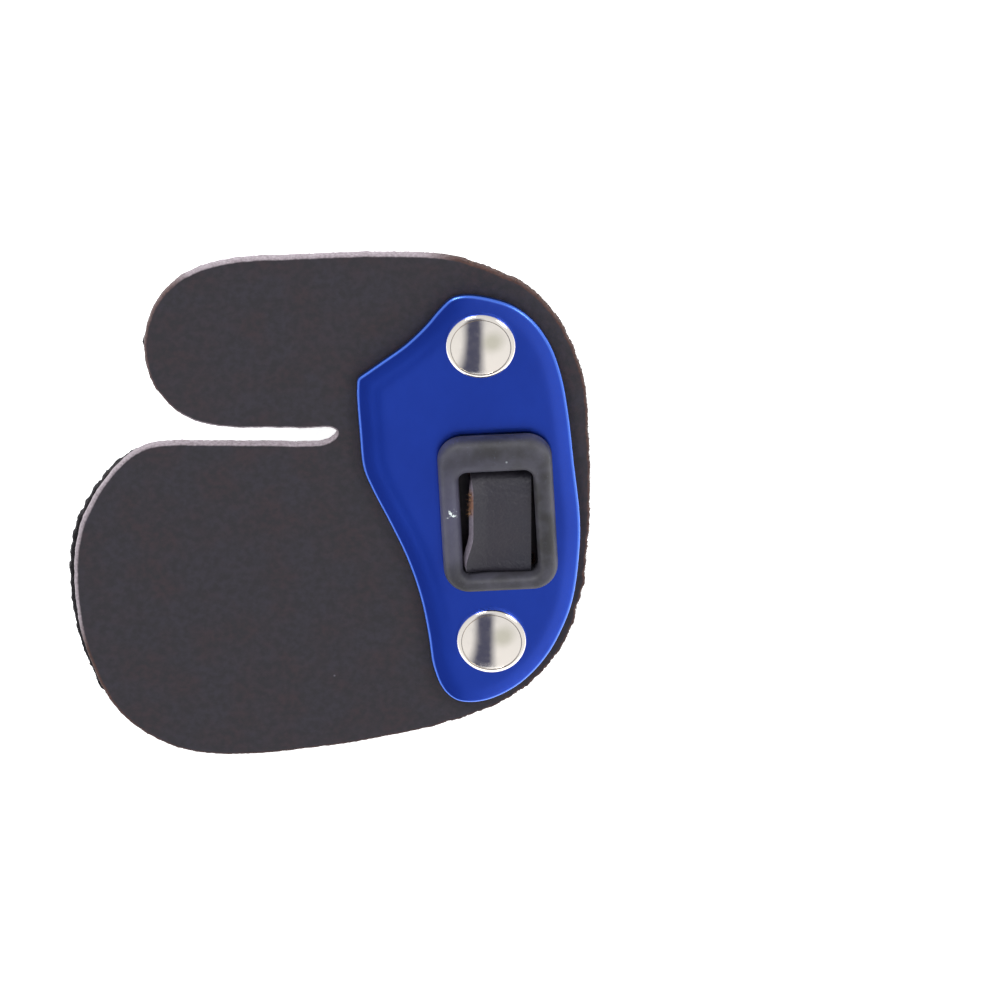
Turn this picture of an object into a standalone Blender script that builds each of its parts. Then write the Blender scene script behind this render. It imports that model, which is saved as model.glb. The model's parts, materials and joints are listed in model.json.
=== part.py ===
"""Archery finger tab for the right hand: a leather face and suede backing held by a blue metal plate.

The tab is modelled flat, in its own plane: +X towards the palm, -X towards the fingertips, +Y towards
the index finger and +Z out of the leather face that the bowstring touches. The suede side looks along -Z,
and a depth below is a distance from the face towards that side. At the end every piece hangs on one
empty, which lays the tab down the way it comes to rest by itself on a table: face up, on its lower edge
and on the finger spacer behind it. The origin is then the middle of the box's underside.
"""

import math

import bmesh
import bpy
import numpy as np
from mathutils import Matrix, Vector

MM = 0.001

# Leather and suede
TAB_REACH = 67.6 * MM          # fingertip edge to palm edge
TAB_SPAN = 72.2 * MM           # lower edge to index edge
FACE_THICK = 1.4 * MM
BACKING_THICK = 1.6 * MM
FLAP_SLIT_WIDTH = 2.3 * MM     # the cut between the index flap and the lower flap
SEAT_GAP = 0.3 * MM            # between any two pieces that touch

# Metal plate
PLATE_REACH = 29.0 * MM
PLATE_SPAN = 58.7 * MM
PLATE_THICK = 1.2 * MM
PLATE_EDGE_ROUND = 0.4 * MM
PALM_MARGIN = 1.2 * MM         # from the leather's palm edge to the plate
PLATE_RISE = 1.5 * MM          # of the plate's middle above the leather's

# Rubber frame round the plate's window, and the finger spacer behind the suede
FRAME_REACH = 14.9 * MM
FRAME_SPAN = 21.8 * MM
FRAME_HEIGHT = 2.4 * MM
FRAME_ROUND = 1.0 * MM
FRAME_CORNER = 3.3 * MM
FRAME_SIDE_BAR = 2.6 * MM
FRAME_TOP_BAR = 4.8 * MM
FRAME_LOW_BAR = 2.2 * MM
FRAME_SKIRT = 0.9 * MM         # wall of the lip that lines the plate's window
FRAME_INNER_CORNER = 1.2 * MM
FRAME_ASIDE = 3.8 * MM         # from the plate's middle to the frame's
FRAME_RISE = -1.2 * MM
FRAME_TURN = math.radians(3.0)
ARM_LENGTH = 33.0 * MM         # from the root to the tip, seen from behind
ARM_WIDTH = 7.2 * MM           # across the fingers
ARM_STAND = 20.0 * MM          # outer face of the arm, measured from the suede
ARM_THICK = 6.4 * MM           # at the elbow, in depth
ARM_HEADING = math.radians(4.5)
ROOT_WIDTH = 3.6 * MM          # of the root where it goes through the leather
ROOT_REACH = 7.0 * MM
ROOT_SHIFT = 1.5 * MM          # root's middle, from the frame's middle towards the fingertips

# Rivets
CAP_DIAMETER = 9.1 * MM
CAP_HEIGHT = 1.7 * MM
CAP_LIP = 0.45 * MM
SHANK_DIAMETER = 3.0 * MM
SMALL_RING_DIAMETER = 7.3 * MM
LARGE_RING_DIAMETER = 9.9 * MM
RING_HEIGHT = 0.9 * MM
RING_BORE = 2.6 * MM
RING_BORE_DEPTH = 1.6 * MM
FLAT_HEAD_DIAMETER = 7.2 * MM
FLAT_HEAD_HEIGHT = 0.9 * MM
UPPER_RIVET_ASIDE = 1.6 * MM   # from the plate's middle
UPPER_RIVET_RISE = 22.4 * MM
LOWER_RIVET_ASIDE = 3.0 * MM
LOWER_RIVET_RISE = -20.1 * MM
STRAP_RIVET_ASIDE = 0.1 * MM   # from the frame's middle
STRAP_RIVET_RISE = -1.6 * MM

# Finger strap
STRAP_WIDTH = 7.9 * MM
STRAP_THICK = 1.2 * MM
STRAP_ASIDE = 0.4 * MM         # from the frame's middle
SLIT_INSET_UPPER = 1.1 * MM    # from the window's top side to the middle of the upper slit
SLIT_INSET_LOWER = 0.9 * MM    # the same at the window's lower side
LOOP_REACH = 14.0 * MM         # how far the finger loop leans towards the fingertips
LEG_LENGTH = 15.0 * MM         # from the lower slit to the place where the strap crosses itself
TAIL_LENGTH = 27.7 * MM        # free end beyond the crossing
TAIL_CURVE = 60.0 * MM         # radius of the gentle curve that the tail has taken
TAIL_HEADING = math.radians(50.0)
KEEPER_SLIT_LENGTH = 9.2 * MM
KEEPER_SLIT_WIDTH = 3.2 * MM
KEEPER_END = 2.2 * MM          # leather beyond the slit at the keeper end
TAIL_CUT = 7.0 * MM            # how much longer one side of the slanted tip is
TAIL_SHARE = 0.9               # of the cut, so that the last row keeps its order
KEEPER_OPEN = 0.42             # where the slit starts to close and over what way, as shares of its length
KEEPER_CLOSING = 0.25

# Fineness of the faceted shapes
OUTLINE_STEPS = 4
ARC_STEPS = 5
ROUND_STEPS = 24
STRAP_STEP = 1.1 * MM

# Density of each kind of material, for the place of the centre of mass
DENSITY = {"leather": 860.0, "suede": 700.0, "aluminium": 2700.0, "rubber": 1150.0, "steel": 7800.0}

# Levels, measured from the front of the leather face
FACE_BACK = -FACE_THICK
BACKING_FRONT = FACE_BACK - SEAT_GAP
BACKING_BACK = BACKING_FRONT - BACKING_THICK
PLATE_BACK = SEAT_GAP
PLATE_FRONT = PLATE_BACK + PLATE_THICK
FRAME_BACK = PLATE_FRONT + SEAT_GAP
FRAME_FRONT = FRAME_BACK + FRAME_HEIGHT

# Places in the tab's plane
PLATE_CENTRE = (TAB_REACH / 2 - PLATE_REACH / 2 - PALM_MARGIN, PLATE_RISE)
FRAME_CENTRE = (PLATE_CENTRE[0] + FRAME_ASIDE, PLATE_CENTRE[1] + FRAME_RISE)
UPPER_RIVET = (PLATE_CENTRE[0] + UPPER_RIVET_ASIDE, PLATE_CENTRE[1] + UPPER_RIVET_RISE)
LOWER_RIVET = (PLATE_CENTRE[0] + LOWER_RIVET_ASIDE, PLATE_CENTRE[1] + LOWER_RIVET_RISE)
STRAP_RIVET = (FRAME_CENTRE[0] + STRAP_RIVET_ASIDE, FRAME_CENTRE[1] + STRAP_RIVET_RISE)
STRAP_X = FRAME_CENTRE[0] + STRAP_ASIDE
STRAP_SLIT_UPPER = FRAME_CENTRE[1] + FRAME_SPAN / 2 - FRAME_TOP_BAR - SLIT_INSET_UPPER
STRAP_SLIT_LOWER = FRAME_CENTRE[1] - FRAME_SPAN / 2 + FRAME_LOW_BAR + SLIT_INSET_LOWER

# Outlines. Columns: reach and span as shares of the half size, and the side of the flap slit
# that the point lies on (1 index side, -1 lower side, 0 neither)
FACE_OUTLINE = (
    (-0.600, 0.280, -1), (-0.410, 0.280, -1), (-0.220, 0.280, -1), (-0.040, 0.280, -1),
    (0.010, 0.290, -0.8), (0.032, 0.295, 0), (0.005, 0.290, 0.7),
    (-0.065, 0.278, 1), (-0.230, 0.280, 1), (-0.410, 0.284, 1),
    (-0.550, 0.355, 0), (-0.665, 0.470, 0), (-0.705, 0.600, 0), (-0.700, 0.700, 0),
    (-0.655, 0.815, 0), (-0.560, 0.910, 0), (-0.400, 0.970, 0), (-0.110, 0.990, 0),
    (0.225, 1.000, 0), (0.475, 0.985, 0), (0.635, 0.930, 0), (0.765, 0.865, 0),
    (0.885, 0.730, 0), (0.975, 0.510, 0), (0.995, 0.285, 0), (1.000, -0.025, 0),
    (0.965, -0.370, 0), (0.880, -0.590, 0), (0.710, -0.760, 0), (0.470, -0.865, 0),
    (0.175, -0.935, 0), (-0.040, -0.970, 0), (-0.375, -1.000, 0), (-0.595, -0.970, 0),
    (-0.810, -0.835, 0), (-0.940, -0.575, 0), (-0.980, -0.340, 0), (-0.970, -0.130, 0),
    (-0.920, 0.005, 0), (-0.865, 0.090, 0), (-0.770, 0.195, 0), (-0.690, 0.237, 0),
)
UPPER_BACKING_OUTLINE = (
    (0.030, 0.300, 1), (-0.230, 0.288, 1), (-0.410, 0.290, 1), (-0.555, 0.350, 0),
    (-0.670, 0.460, 0), (-0.708, 0.590, 0), (-0.697, 0.685, 0), (-0.650, 0.785, 0),
    (-0.552, 0.874, 0), (-0.398, 0.932, 0), (-0.110, 0.954, 0), (0.225, 0.962, 0),
    (0.395, 0.940, 0), (0.540, 0.850, 0), (0.670, 0.730, 0), (0.745, 0.600, 0),
    (0.745, 0.480, 0), (0.660, 0.370, 0), (0.500, 0.315, 0), (0.250, 0.300, 1),
)
LOWER_BACKING_OUTLINE = (
    (0.710, 0.250, 0), (0.545, 0.215, 0), (0.400, 0.200, 0), (0.250, 0.215, 0),
    (0.100, 0.232, 0), (-0.040, 0.238, -1), (-0.220, 0.244, -1), (-0.410, 0.244, -1),
    (-0.595, 0.240, -1), (-0.690, 0.208, 0), (-0.784, 0.168, 0), (-0.880, 0.075, 0),
    (-0.942, -0.008, 0), (-0.994, -0.135, 0), (-1.006, -0.340, 0), (-0.966, -0.580, 0),
    (-0.832, -0.840, 0), (-0.603, -0.974, 0), (-0.375, -1.002, 0), (-0.040, -0.972, 0),
    (0.175, -0.936, 0), (0.460, -0.862, 0), (0.690, -0.755, 0), (0.850, -0.590, 0),
    (0.925, -0.370, 0), (0.955, -0.070, 0), (0.915, 0.150, 0), (0.810, 0.238, 0),
)

# The plate's outline, as shares of its own half sizes. The last column marks its one sharp corner
PLATE_OUTLINE = (
    (-0.995, 0.594, 1), (-0.758, 0.683, 0), (-0.560, 0.761, 0), (-0.380, 0.855, 0),
    (-0.265, 0.929, 0), (-0.150, 0.985, 0), (0.000, 1.000, 0), (0.245, 0.978, 0),
    (0.410, 0.945, 0), (0.580, 0.875, 0), (0.730, 0.760, 0), (0.830, 0.610, 0),
    (0.890, 0.440, 0), (0.945, 0.180, 0), (1.000, -0.100, 0), (0.990, -0.287, 0),
    (0.937, -0.490, 0), (0.847, -0.630, 0), (0.695, -0.778, 0), (0.470, -0.905, 0),
    (0.220, -0.980, 0), (0.040, -1.000, 0), (-0.110, -0.990, 0), (-0.230, -0.936, 0),
    (-0.320, -0.820, 0), (-0.363, -0.665, 0), (-0.435, -0.478, 0), (-0.560, -0.280, 0),
    (-0.730, -0.090, 0), (-0.875, 0.063, 0), (-0.945, 0.160, 0), (-0.975, 0.328, 0),
    (-1.000, 0.515, 0),
)

# The spacer's arm behind the suede. Columns: way along the arm as a share of its length, depth of
# its middle as a share of its stand, thickness and width as shares of the thickest and widest place
ARM_SECTIONS = (
    (0.000, 0.200, 1.000, 0.800), (0.000, 0.420, 1.000, 1.000), (-0.020, 0.600, 1.000, 1.000),
    (-0.005, 0.745, 1.000, 1.000), (0.065, 0.843, 0.980, 1.000), (0.200, 0.833, 0.930, 1.000),
    (0.380, 0.829, 0.860, 1.000), (0.560, 0.826, 0.780, 1.000), (0.720, 0.803, 0.690, 0.980),
    (0.860, 0.750, 0.600, 0.950), (0.950, 0.680, 0.500, 0.880), (0.985, 0.640, 0.340, 0.700),
)

# The finger loop, from the upper slit round to the crossing. Columns: lean towards the fingertips as
# a share of the loop's reach, height as a share of the distance between the slits, measured from the
# lower slit, depth from the suede as a share of the strap's width, and the width's slope and turn
LOOP_SECTIONS = (
    (0.020, 1.000, 0.200, 12.0, 0.0), (0.180, 0.960, 0.420, 38.0, -8.0),
    (0.450, 0.840, 0.560, 60.0, -22.0), (0.760, 0.600, 0.600, 66.0, -14.0),
    (0.960, 0.300, 0.580, 60.0, 0.0), (1.040, 0.000, 0.480, 40.0, 14.0),
)


def material(name, colour, roughness, metallic=0.0):
    """One Principled material; the colour is linear red, green and blue."""
    new = bpy.data.materials.new(name)
    new.use_nodes = True
    shader = new.node_tree.nodes["Principled BSDF"]
    shader.inputs["Base Color"].default_value = (*colour, 1.0)
    shader.inputs["Roughness"].default_value = roughness
    shader.inputs["Metallic"].default_value = metallic
    return new


def smooth_loop(points, corners=()):
    """Closed Catmull-Rom curve through the points, with its tangent broken at the corners."""
    count = len(points)
    result = []
    for here in range(count):
        start, end = Vector(points[here]), Vector(points[(here + 1) % count])
        before = start if here in corners else Vector(points[here - 1])
        after = end if (here + 1) % count in corners else Vector(points[(here + 2) % count])
        knots = [0.0]
        for a, b in ((before, start), (start, end), (end, after)):
            knots.append(knots[-1] + max((b - a).length, 1e-5) ** 0.5)
        for step in range(OUTLINE_STEPS):
            t = knots[1] + (knots[2] - knots[1]) * step / OUTLINE_STEPS
            result.append(catmull_point((before, start, end, after), knots, t))
    return result


def catmull_point(points, knots, t):
    """Barry and Goldman's pyramid for one point of a centripetal Catmull-Rom span."""
    def between(a, b, start, end):
        return (a * (end - t) + b * (t - start)) / (end - start)

    low = [between(points[i], points[i + 1], knots[i], knots[i + 1]) for i in range(3)]
    middle = [between(low[i], low[i + 1], knots[i], knots[i + 2]) for i in range(2)]
    return between(middle[0], middle[1], knots[1], knots[2])


def circle(centre, radius, steps=ROUND_STEPS):
    """Points of a circle in the tab's plane."""
    turns = [2 * math.pi * i / steps for i in range(steps)]
    return [Vector((centre[0] + radius * math.cos(t), centre[1] + radius * math.sin(t))) for t in turns]


def rounded_box(low, high, radius):
    """Points of a rectangle with round corners, from its low to its high corner."""
    points = []
    corners = ((high[0], high[1], 0), (low[0], high[1], 1), (low[0], low[1], 2), (high[0], low[1], 3))
    for x, y, quarter in corners:
        centre = Vector((x - radius if x == high[0] else x + radius, y - radius if y == high[1] else y + radius))
        for step in range(ARC_STEPS + 1):
            angle = math.pi / 2 * (quarter + step / ARC_STEPS)
            points.append(centre + radius * Vector((math.cos(angle), math.sin(angle))))
    return points


def place(points, centre, turn=0.0):
    """The points turned about the origin and moved to the centre."""
    spin = Matrix.Rotation(turn, 2)
    return [spin @ Vector(p) + Vector(centre) for p in points]


def flat_piece(name, loops, low, high, edge_round=0.0):
    """A sheet between two levels with the first loop as its outline and the others as its holes."""
    curve = bpy.data.curves.new(name, "CURVE")
    curve.dimensions = "2D"
    curve.fill_mode = "BOTH"
    curve.extrude = (high - low) / 2 - edge_round
    curve.bevel_depth = edge_round
    curve.bevel_resolution = 2 if edge_round else 0
    curve.offset = -edge_round
    for loop in loops:
        spline = curve.splines.new("POLY")
        spline.points.add(len(loop) - 1)
        for point, spot in zip(spline.points, loop):
            point.co = (spot[0], spot[1], 0.0, 1.0)
        spline.use_cyclic_u = True
    drawn = bpy.data.objects.new(name + "_outline", curve)
    bpy.context.scene.collection.objects.link(drawn)
    drawn.location.z = (high + low) / 2
    return mesh_from_curve(name, drawn)


def mesh_from_curve(name, drawn):
    """The curve as a closed mesh object that takes its place; the curve is removed."""
    bpy.context.view_layer.update()
    mesh = bpy.data.meshes.new_from_object(drawn.evaluated_get(bpy.context.evaluated_depsgraph_get()))
    mesh.transform(drawn.matrix_world)
    weld(mesh)
    mesh.name = name
    piece = bpy.data.objects.new(name, mesh)
    bpy.data.objects.remove(drawn)
    return piece


def weld(mesh):
    """Merges doubled points and turns every face outwards."""
    shape = bmesh.new()
    shape.from_mesh(mesh)
    bmesh.ops.remove_doubles(shape, verts=shape.verts, dist=0.002 * MM)
    bmesh.ops.recalc_face_normals(shape, faces=shape.faces)
    shape.to_mesh(mesh)
    shape.free()


def lofted_piece(name, sections):
    """Closed skin through rings that have the same number of points."""
    shape = bmesh.new()
    rings = [[shape.verts.new(point) for point in ring] for ring in sections]
    for near, far in zip(rings, rings[1:]):
        for i in range(len(near)):
            j = (i + 1) % len(near)
            shape.faces.new((near[i], near[j], far[j], far[i]))
    shape.faces.new(rings[0])
    shape.faces.new(rings[-1])
    bmesh.ops.recalc_face_normals(shape, faces=shape.faces)
    mesh = bpy.data.meshes.new(name)
    shape.to_mesh(mesh)
    shape.free()
    return bpy.data.objects.new(name, mesh)


def combine(piece, other, operation, folders):
    """Adds or cuts the other solid with an exact Boolean; the other one stays as a hidden cutter."""
    other.hide_render = True
    other.display_type = "WIRE"
    folders["cutters"].objects.link(other)
    change = piece.modifiers.new(other.name, "BOOLEAN")
    change.object = other
    change.operation = operation
    change.solver = "EXACT"


def finish(piece, look, folders, smooth_angle=35.0):
    """Puts a piece in the tab's collection with its material and its shading."""
    piece.data.materials.clear()
    piece.data.materials.append(look)
    piece.data.shade_smooth()
    piece.data.set_sharp_from_angle(angle=math.radians(smooth_angle))
    folders["tab"].objects.link(piece)
    return piece


def tab_outline(table):
    """An outline of the leather, whose slit keeps its own width."""
    half = FLAP_SLIT_WIDTH / 2
    points = [Vector((x * TAB_REACH / 2, y * TAB_SPAN / 2 + side * half)) for x, y, side in table]
    return smooth_loop(points)


def strap_slit(middle_y, margin=0.0):
    """Outline of one slit that the strap goes through."""
    half = Vector((STRAP_WIDTH / 2 + SEAT_GAP + margin, STRAP_THICK / 2 + SEAT_GAP + margin))
    middle = Vector((STRAP_X, middle_y))
    return rounded_box(middle - half, middle + half, STRAP_THICK / 2)


def frame_window(grow=0.0):
    """The opening of the rubber frame, before it is turned and placed."""
    low = (-FRAME_REACH / 2 + FRAME_SIDE_BAR - grow, -FRAME_SPAN / 2 + FRAME_LOW_BAR - grow)
    high = (FRAME_REACH / 2 - FRAME_SIDE_BAR + grow, FRAME_SPAN / 2 - FRAME_TOP_BAR + grow)
    return low, high


def root_middle():
    """Middle of the spacer's root in the tab's plane: under the frame's wide top bar."""
    rise = FRAME_SPAN / 2 - FRAME_TOP_BAR / 2
    spot = place([(0.0, rise)], FRAME_CENTRE, FRAME_TURN)[0]
    return Vector((spot.x - ROOT_SHIFT, spot.y))


def root_outline(grow=0.0):
    """Outline of the root, or with a margin that of the slot that lets it through."""
    half = Vector((ROOT_REACH / 2 + grow, ROOT_WIDTH / 2 + grow))
    return place(rounded_box(-half, half, ROOT_WIDTH / 3 + grow), root_middle())


def shank_hole(spot):
    """Hole for a rivet's shank."""
    return circle(spot, SHANK_DIAMETER / 2 + SEAT_GAP)


def make_face(look, folders):
    """Smooth leather that the string slides on, with the slit between the two flaps."""
    holes = [shank_hole(spot) for spot in (UPPER_RIVET, LOWER_RIVET, STRAP_RIVET)]
    holes += [strap_slit(STRAP_SLIT_UPPER), strap_slit(STRAP_SLIT_LOWER), root_outline(SEAT_GAP)]
    face = flat_piece("face_leather", [tab_outline(FACE_OUTLINE)] + holes, FACE_BACK, 0.0)
    return finish(face, look, folders)


def make_backings(look, folders):
    """The two suede pieces on the finger side, notched for the strap, the root and the rivets."""
    cut_low, cut_high = BACKING_BACK - BACKING_THICK, FACE_BACK
    pieces = []
    for name, table, holes in (
        ("backing_upper", UPPER_BACKING_OUTLINE, [shank_hole(UPPER_RIVET)]),
        ("backing_lower", LOWER_BACKING_OUTLINE,
         [shank_hole(LOWER_RIVET), shank_hole(STRAP_RIVET), strap_slit(STRAP_SLIT_LOWER)]),
    ):
        piece = flat_piece(name, [tab_outline(table)] + holes, BACKING_BACK, BACKING_FRONT)
        slot = flat_piece(name + "_root_slot", [root_outline(SEAT_GAP)], cut_low, cut_high)
        combine(piece, slot, "DIFFERENCE", folders)
        if name == "backing_lower":
            upper_slit = flat_piece(name + "_strap_slot", [strap_slit(STRAP_SLIT_UPPER)], cut_low, cut_high)
            combine(piece, upper_slit, "DIFFERENCE", folders)
        pieces.append(finish(piece, look, folders))
    return pieces


def make_plate(look, folders):
    """Anodised plate on the palm side of the face, with a window and two rivet holes."""
    half_reach, half_span = PLATE_REACH / 2, PLATE_SPAN / 2
    rows = [Vector((x * half_reach, y * half_span)) for x, y, corner in PLATE_OUTLINE]
    corners = [i for i, row in enumerate(PLATE_OUTLINE) if row[2]]
    outline = place(smooth_loop(rows, corners), PLATE_CENTRE)
    low, high = frame_window(FRAME_SKIRT + SEAT_GAP)
    high = (high[0], FRAME_SPAN / 2 - (FRAME_TOP_BAR - ROOT_WIDTH) / 2 + SEAT_GAP)
    window = place(rounded_box(low, high, FRAME_INNER_CORNER + FRAME_SKIRT), FRAME_CENTRE, FRAME_TURN)
    loops = [outline, window, shank_hole(UPPER_RIVET), shank_hole(LOWER_RIVET)]
    plate = flat_piece("plate", loops, PLATE_BACK, PLATE_FRONT, PLATE_EDGE_ROUND)
    return finish(plate, look, folders)


def arm_rings():
    """Rings of the spacer's root and arm, from inside the frame out to the arm's tip."""
    start = root_middle()
    along = Vector((-math.cos(ARM_HEADING), -math.sin(ARM_HEADING), 0.0))
    across = Vector((along.y, -along.x, 0.0))
    rearward = Vector((0.0, 0.0, -1.0))
    rings = []
    for level in (FRAME_BACK + FRAME_HEIGHT / 2, PLATE_FRONT, 0.0, FACE_BACK, BACKING_BACK - SEAT_GAP):
        rings.append([Vector((p.x, p.y, level)) for p in root_outline()])
    middles = [Vector((start.x, start.y, BACKING_BACK)) + along * (ARM_LENGTH * row[0])
               + rearward * (ARM_STAND * row[1]) for row in ARM_SECTIONS]
    for number, row in enumerate(ARM_SECTIONS):
        before = middles[number - 1] if number else middles[0] - rearward * MM
        after = middles[number + 1] if number + 1 < len(middles) else middles[-1] + (middles[-1] - before)
        way = (after - before).normalized()
        # the ring's first side looks towards the palm at the root and outwards along the arm
        side = way.cross(across).normalized()
        half = Vector((ARM_THICK * row[2] / 2, ARM_WIDTH * row[3] / 2))
        corner = min(half) * 0.55
        ring = rounded_box(-half, half, corner)
        rings.append([middles[number] + side * p.x + across * p.y for p in ring])
    return rings


def make_spacer(look, folders):
    """Rubber moulding: the frame on the plate, its root through the leather, and the arm behind."""
    outer = rounded_box((-FRAME_REACH / 2, -FRAME_SPAN / 2), (FRAME_REACH / 2, FRAME_SPAN / 2), FRAME_CORNER)
    window = rounded_box(*frame_window(), FRAME_INNER_CORNER)
    lip = rounded_box(*frame_window(FRAME_SKIRT), FRAME_INNER_CORNER + FRAME_SKIRT)
    placed = [place(loop, FRAME_CENTRE, FRAME_TURN) for loop in (outer, window, lip)]
    spacer = flat_piece("finger_spacer", [placed[0], placed[1]], FRAME_BACK, FRAME_FRONT, FRAME_ROUND)
    skirt = flat_piece("spacer_skirt", [placed[2], placed[1]], PLATE_BACK, FRAME_BACK + FRAME_HEIGHT / 2)
    combine(spacer, skirt, "UNION", folders)
    combine(spacer, lofted_piece("spacer_arm", arm_rings()), "UNION", folders)
    return finish(spacer, look, folders, 50.0)


def turned_piece(name, profile, spot):
    """A solid of revolution; the profile runs from the top of the axis down to its foot."""
    mesh = bpy.data.meshes.new(name)
    shape = bmesh.new()
    points = [shape.verts.new((radius, 0.0, height)) for radius, height in profile]
    for a, b in zip(points, points[1:]):
        shape.edges.new((a, b))
    shape.to_mesh(mesh)
    shape.free()
    piece = bpy.data.objects.new(name, mesh)
    piece.location = (spot[0], spot[1], 0.0)
    turn = piece.modifiers.new("turn", "SCREW")
    turn.steps = turn.render_steps = ROUND_STEPS
    turn.use_merge_vertices = True
    turn.merge_threshold = 0.005 * MM
    return piece


def ring_profile(diameter):
    """Rolled ring of a set rivet behind the suede, from its outer side down to its bore."""
    back = BACKING_BACK - SEAT_GAP
    radius, shank = diameter / 2, SHANK_DIAMETER / 2
    bore = RING_BORE / 2
    return [
        (shank, back), (radius - RING_HEIGHT / 3, back), (radius, back - RING_HEIGHT / 3),
        (radius - RING_HEIGHT / 5, back - RING_HEIGHT * 0.75), (radius - RING_HEIGHT, back - RING_HEIGHT),
        (bore + RING_HEIGHT / 2, back - RING_HEIGHT * 0.9), (bore, back - RING_HEIGHT * 0.6),
        (bore, back - RING_HEIGHT + RING_BORE_DEPTH), (0.0, back - RING_HEIGHT + RING_BORE_DEPTH),
    ]


def cap_profile():
    """Domed cap of a rivet, from the top of the dome to the shank."""
    base = PLATE_FRONT + SEAT_GAP
    radius = CAP_DIAMETER / 2
    dome = CAP_HEIGHT - CAP_LIP
    rows = []
    for step in range(5):
        angle = math.pi / 2 * step / 5
        rows.append((radius * 0.96 * math.sin(angle), base + CAP_LIP + dome * math.cos(angle)))
    rows += [(radius, base + CAP_LIP), (radius, base + CAP_LIP / 3), (radius - CAP_LIP / 2, base)]
    return rows + [(SHANK_DIAMETER / 2, base)]


def flat_head_profile():
    """Low head of the strap's rivet, which lies under the strap."""
    radius = FLAT_HEAD_DIAMETER / 2
    top = SEAT_GAP + FLAT_HEAD_HEIGHT
    return [(0.0, top), (radius * 0.7, top - 0.12 * FLAT_HEAD_HEIGHT), (radius, SEAT_GAP + 0.35 * FLAT_HEAD_HEIGHT),
            (radius, SEAT_GAP), (SHANK_DIAMETER / 2, SEAT_GAP)]


def make_rivets(look, folders):
    """Two capped rivets that hold the plate, and the one under the strap."""
    pieces = []
    for name, head, ring, spot in (
        ("rivet_upper", cap_profile(), SMALL_RING_DIAMETER, UPPER_RIVET),
        ("rivet_lower", cap_profile(), SMALL_RING_DIAMETER, LOWER_RIVET),
        ("strap_rivet", flat_head_profile(), LARGE_RING_DIAMETER, STRAP_RIVET),
    ):
        pieces.append(finish(turned_piece(name, head + ring_profile(ring), spot), look, folders))
    return pieces


def ease(share):
    """Smooth step from 0 to 1."""
    share = min(max(share, 0.0), 1.0)
    return share * share * (3.0 - 2.0 * share)


def leg_spot(way):
    """Place and heading on the strap's flat stretch, a distance beyond the lower slit."""
    heading = TAIL_HEADING + way / TAIL_CURVE
    x = STRAP_X - TAIL_CURVE * (math.cos(TAIL_HEADING) - math.cos(heading))
    y = STRAP_SLIT_LOWER - TAIL_CURVE * (math.sin(heading) - math.sin(TAIL_HEADING))
    return Vector((x, y, 0.0)), Vector((-math.sin(heading), -math.cos(heading), 0.0))


def strap_route():
    """Sections of the strap from the keeper end round to the tail: middle, width and keeper mark.

    The keeper mark is the signed way from the crossing, and None away from the keeper end.
    """
    suede = BACKING_BACK - SEAT_GAP
    resting = suede - STRAP_THICK / 2                  # middle level of a strap that lies on the suede
    riding = resting - STRAP_THICK - SEAT_GAP          # and of one that lies on another layer of it
    crossing, tail_way = leg_spot(LEG_LENGTH)
    keeper_way = Vector((-tail_way.y, tail_way.x, 0.0))
    if keeper_way.y > 0.0:
        keeper_way = -keeper_way
    keeper_level = (resting + riding) / 2
    rows = []
    reach = KEEPER_SLIT_LENGTH / 2
    for way in (reach + KEEPER_END, reach, reach / 2, 0.0, -reach / 2, -reach):
        spot = crossing + keeper_way * way
        rows.append((Vector((spot.x, spot.y, keeper_level)), -tail_way, way))
    spacing = STRAP_SLIT_UPPER - STRAP_SLIT_LOWER
    for lean, height, depth, slope, turn in reversed(LOOP_SECTIONS):
        middle = Vector((STRAP_X - lean * LOOP_REACH, STRAP_SLIT_LOWER + height * spacing,
                         suede - depth * STRAP_WIDTH))
        tip, spin = math.radians(slope), math.radians(turn)
        width = Vector((math.cos(tip) * math.cos(spin), math.cos(tip) * math.sin(spin), -math.sin(tip)))
        rows.append((middle, width, None))
    side = Vector((1.0, 0.0, 0.0))
    run = FLAT_HEAD_HEIGHT + 2 * SEAT_GAP + STRAP_THICK / 2
    bend = STRAP_THICK * 1.1
    for y, z in (
        (STRAP_SLIT_UPPER, FACE_BACK), (STRAP_SLIT_UPPER, 0.0), (STRAP_SLIT_UPPER - bend * 0.3, run - bend * 0.4),
        (STRAP_SLIT_UPPER - bend * 1.4, run), (STRAP_SLIT_LOWER + bend * 1.4, run),
        (STRAP_SLIT_LOWER + bend * 0.3, run - bend * 0.4), (STRAP_SLIT_LOWER, 0.0), (STRAP_SLIT_LOWER, FACE_BACK),
        (STRAP_SLIT_LOWER, BACKING_BACK - SEAT_GAP),
    ):
        rows.append((Vector((STRAP_X, y, z)), side, None))
    total = LEG_LENGTH + TAIL_LENGTH
    half_keeper = STRAP_WIDTH / 2
    for way, hump in (
        (0.8 * bend, 1.2), (2.0 * bend, 1.4), (3.4 * bend, 0.9), (5.0 * bend, 0.3),
        (LEG_LENGTH - half_keeper, 0.0), (LEG_LENGTH - KEEPER_SLIT_WIDTH / 2, 0.0), (LEG_LENGTH, 0.0),
        (LEG_LENGTH + KEEPER_SLIT_WIDTH / 2, 0.0), (LEG_LENGTH + half_keeper, 0.0),
        (LEG_LENGTH + half_keeper * 2, 0.0), (total * 0.62, 0.0), (total * 0.8, 0.0), (total, 0.0),
    ):
        spot, heading = leg_spot(way)
        climb = ease((way - LEG_LENGTH) / KEEPER_SLIT_WIDTH + 0.5)
        settle = ease((way - LEG_LENGTH - half_keeper) / (half_keeper * 2.5))
        level = resting + (riding - resting) * climb * (1.0 - settle) - hump * STRAP_THICK
        rows.append((Vector((spot.x, spot.y, level)), Vector((-heading.y, heading.x, 0.0)), None))
    return rows


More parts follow.
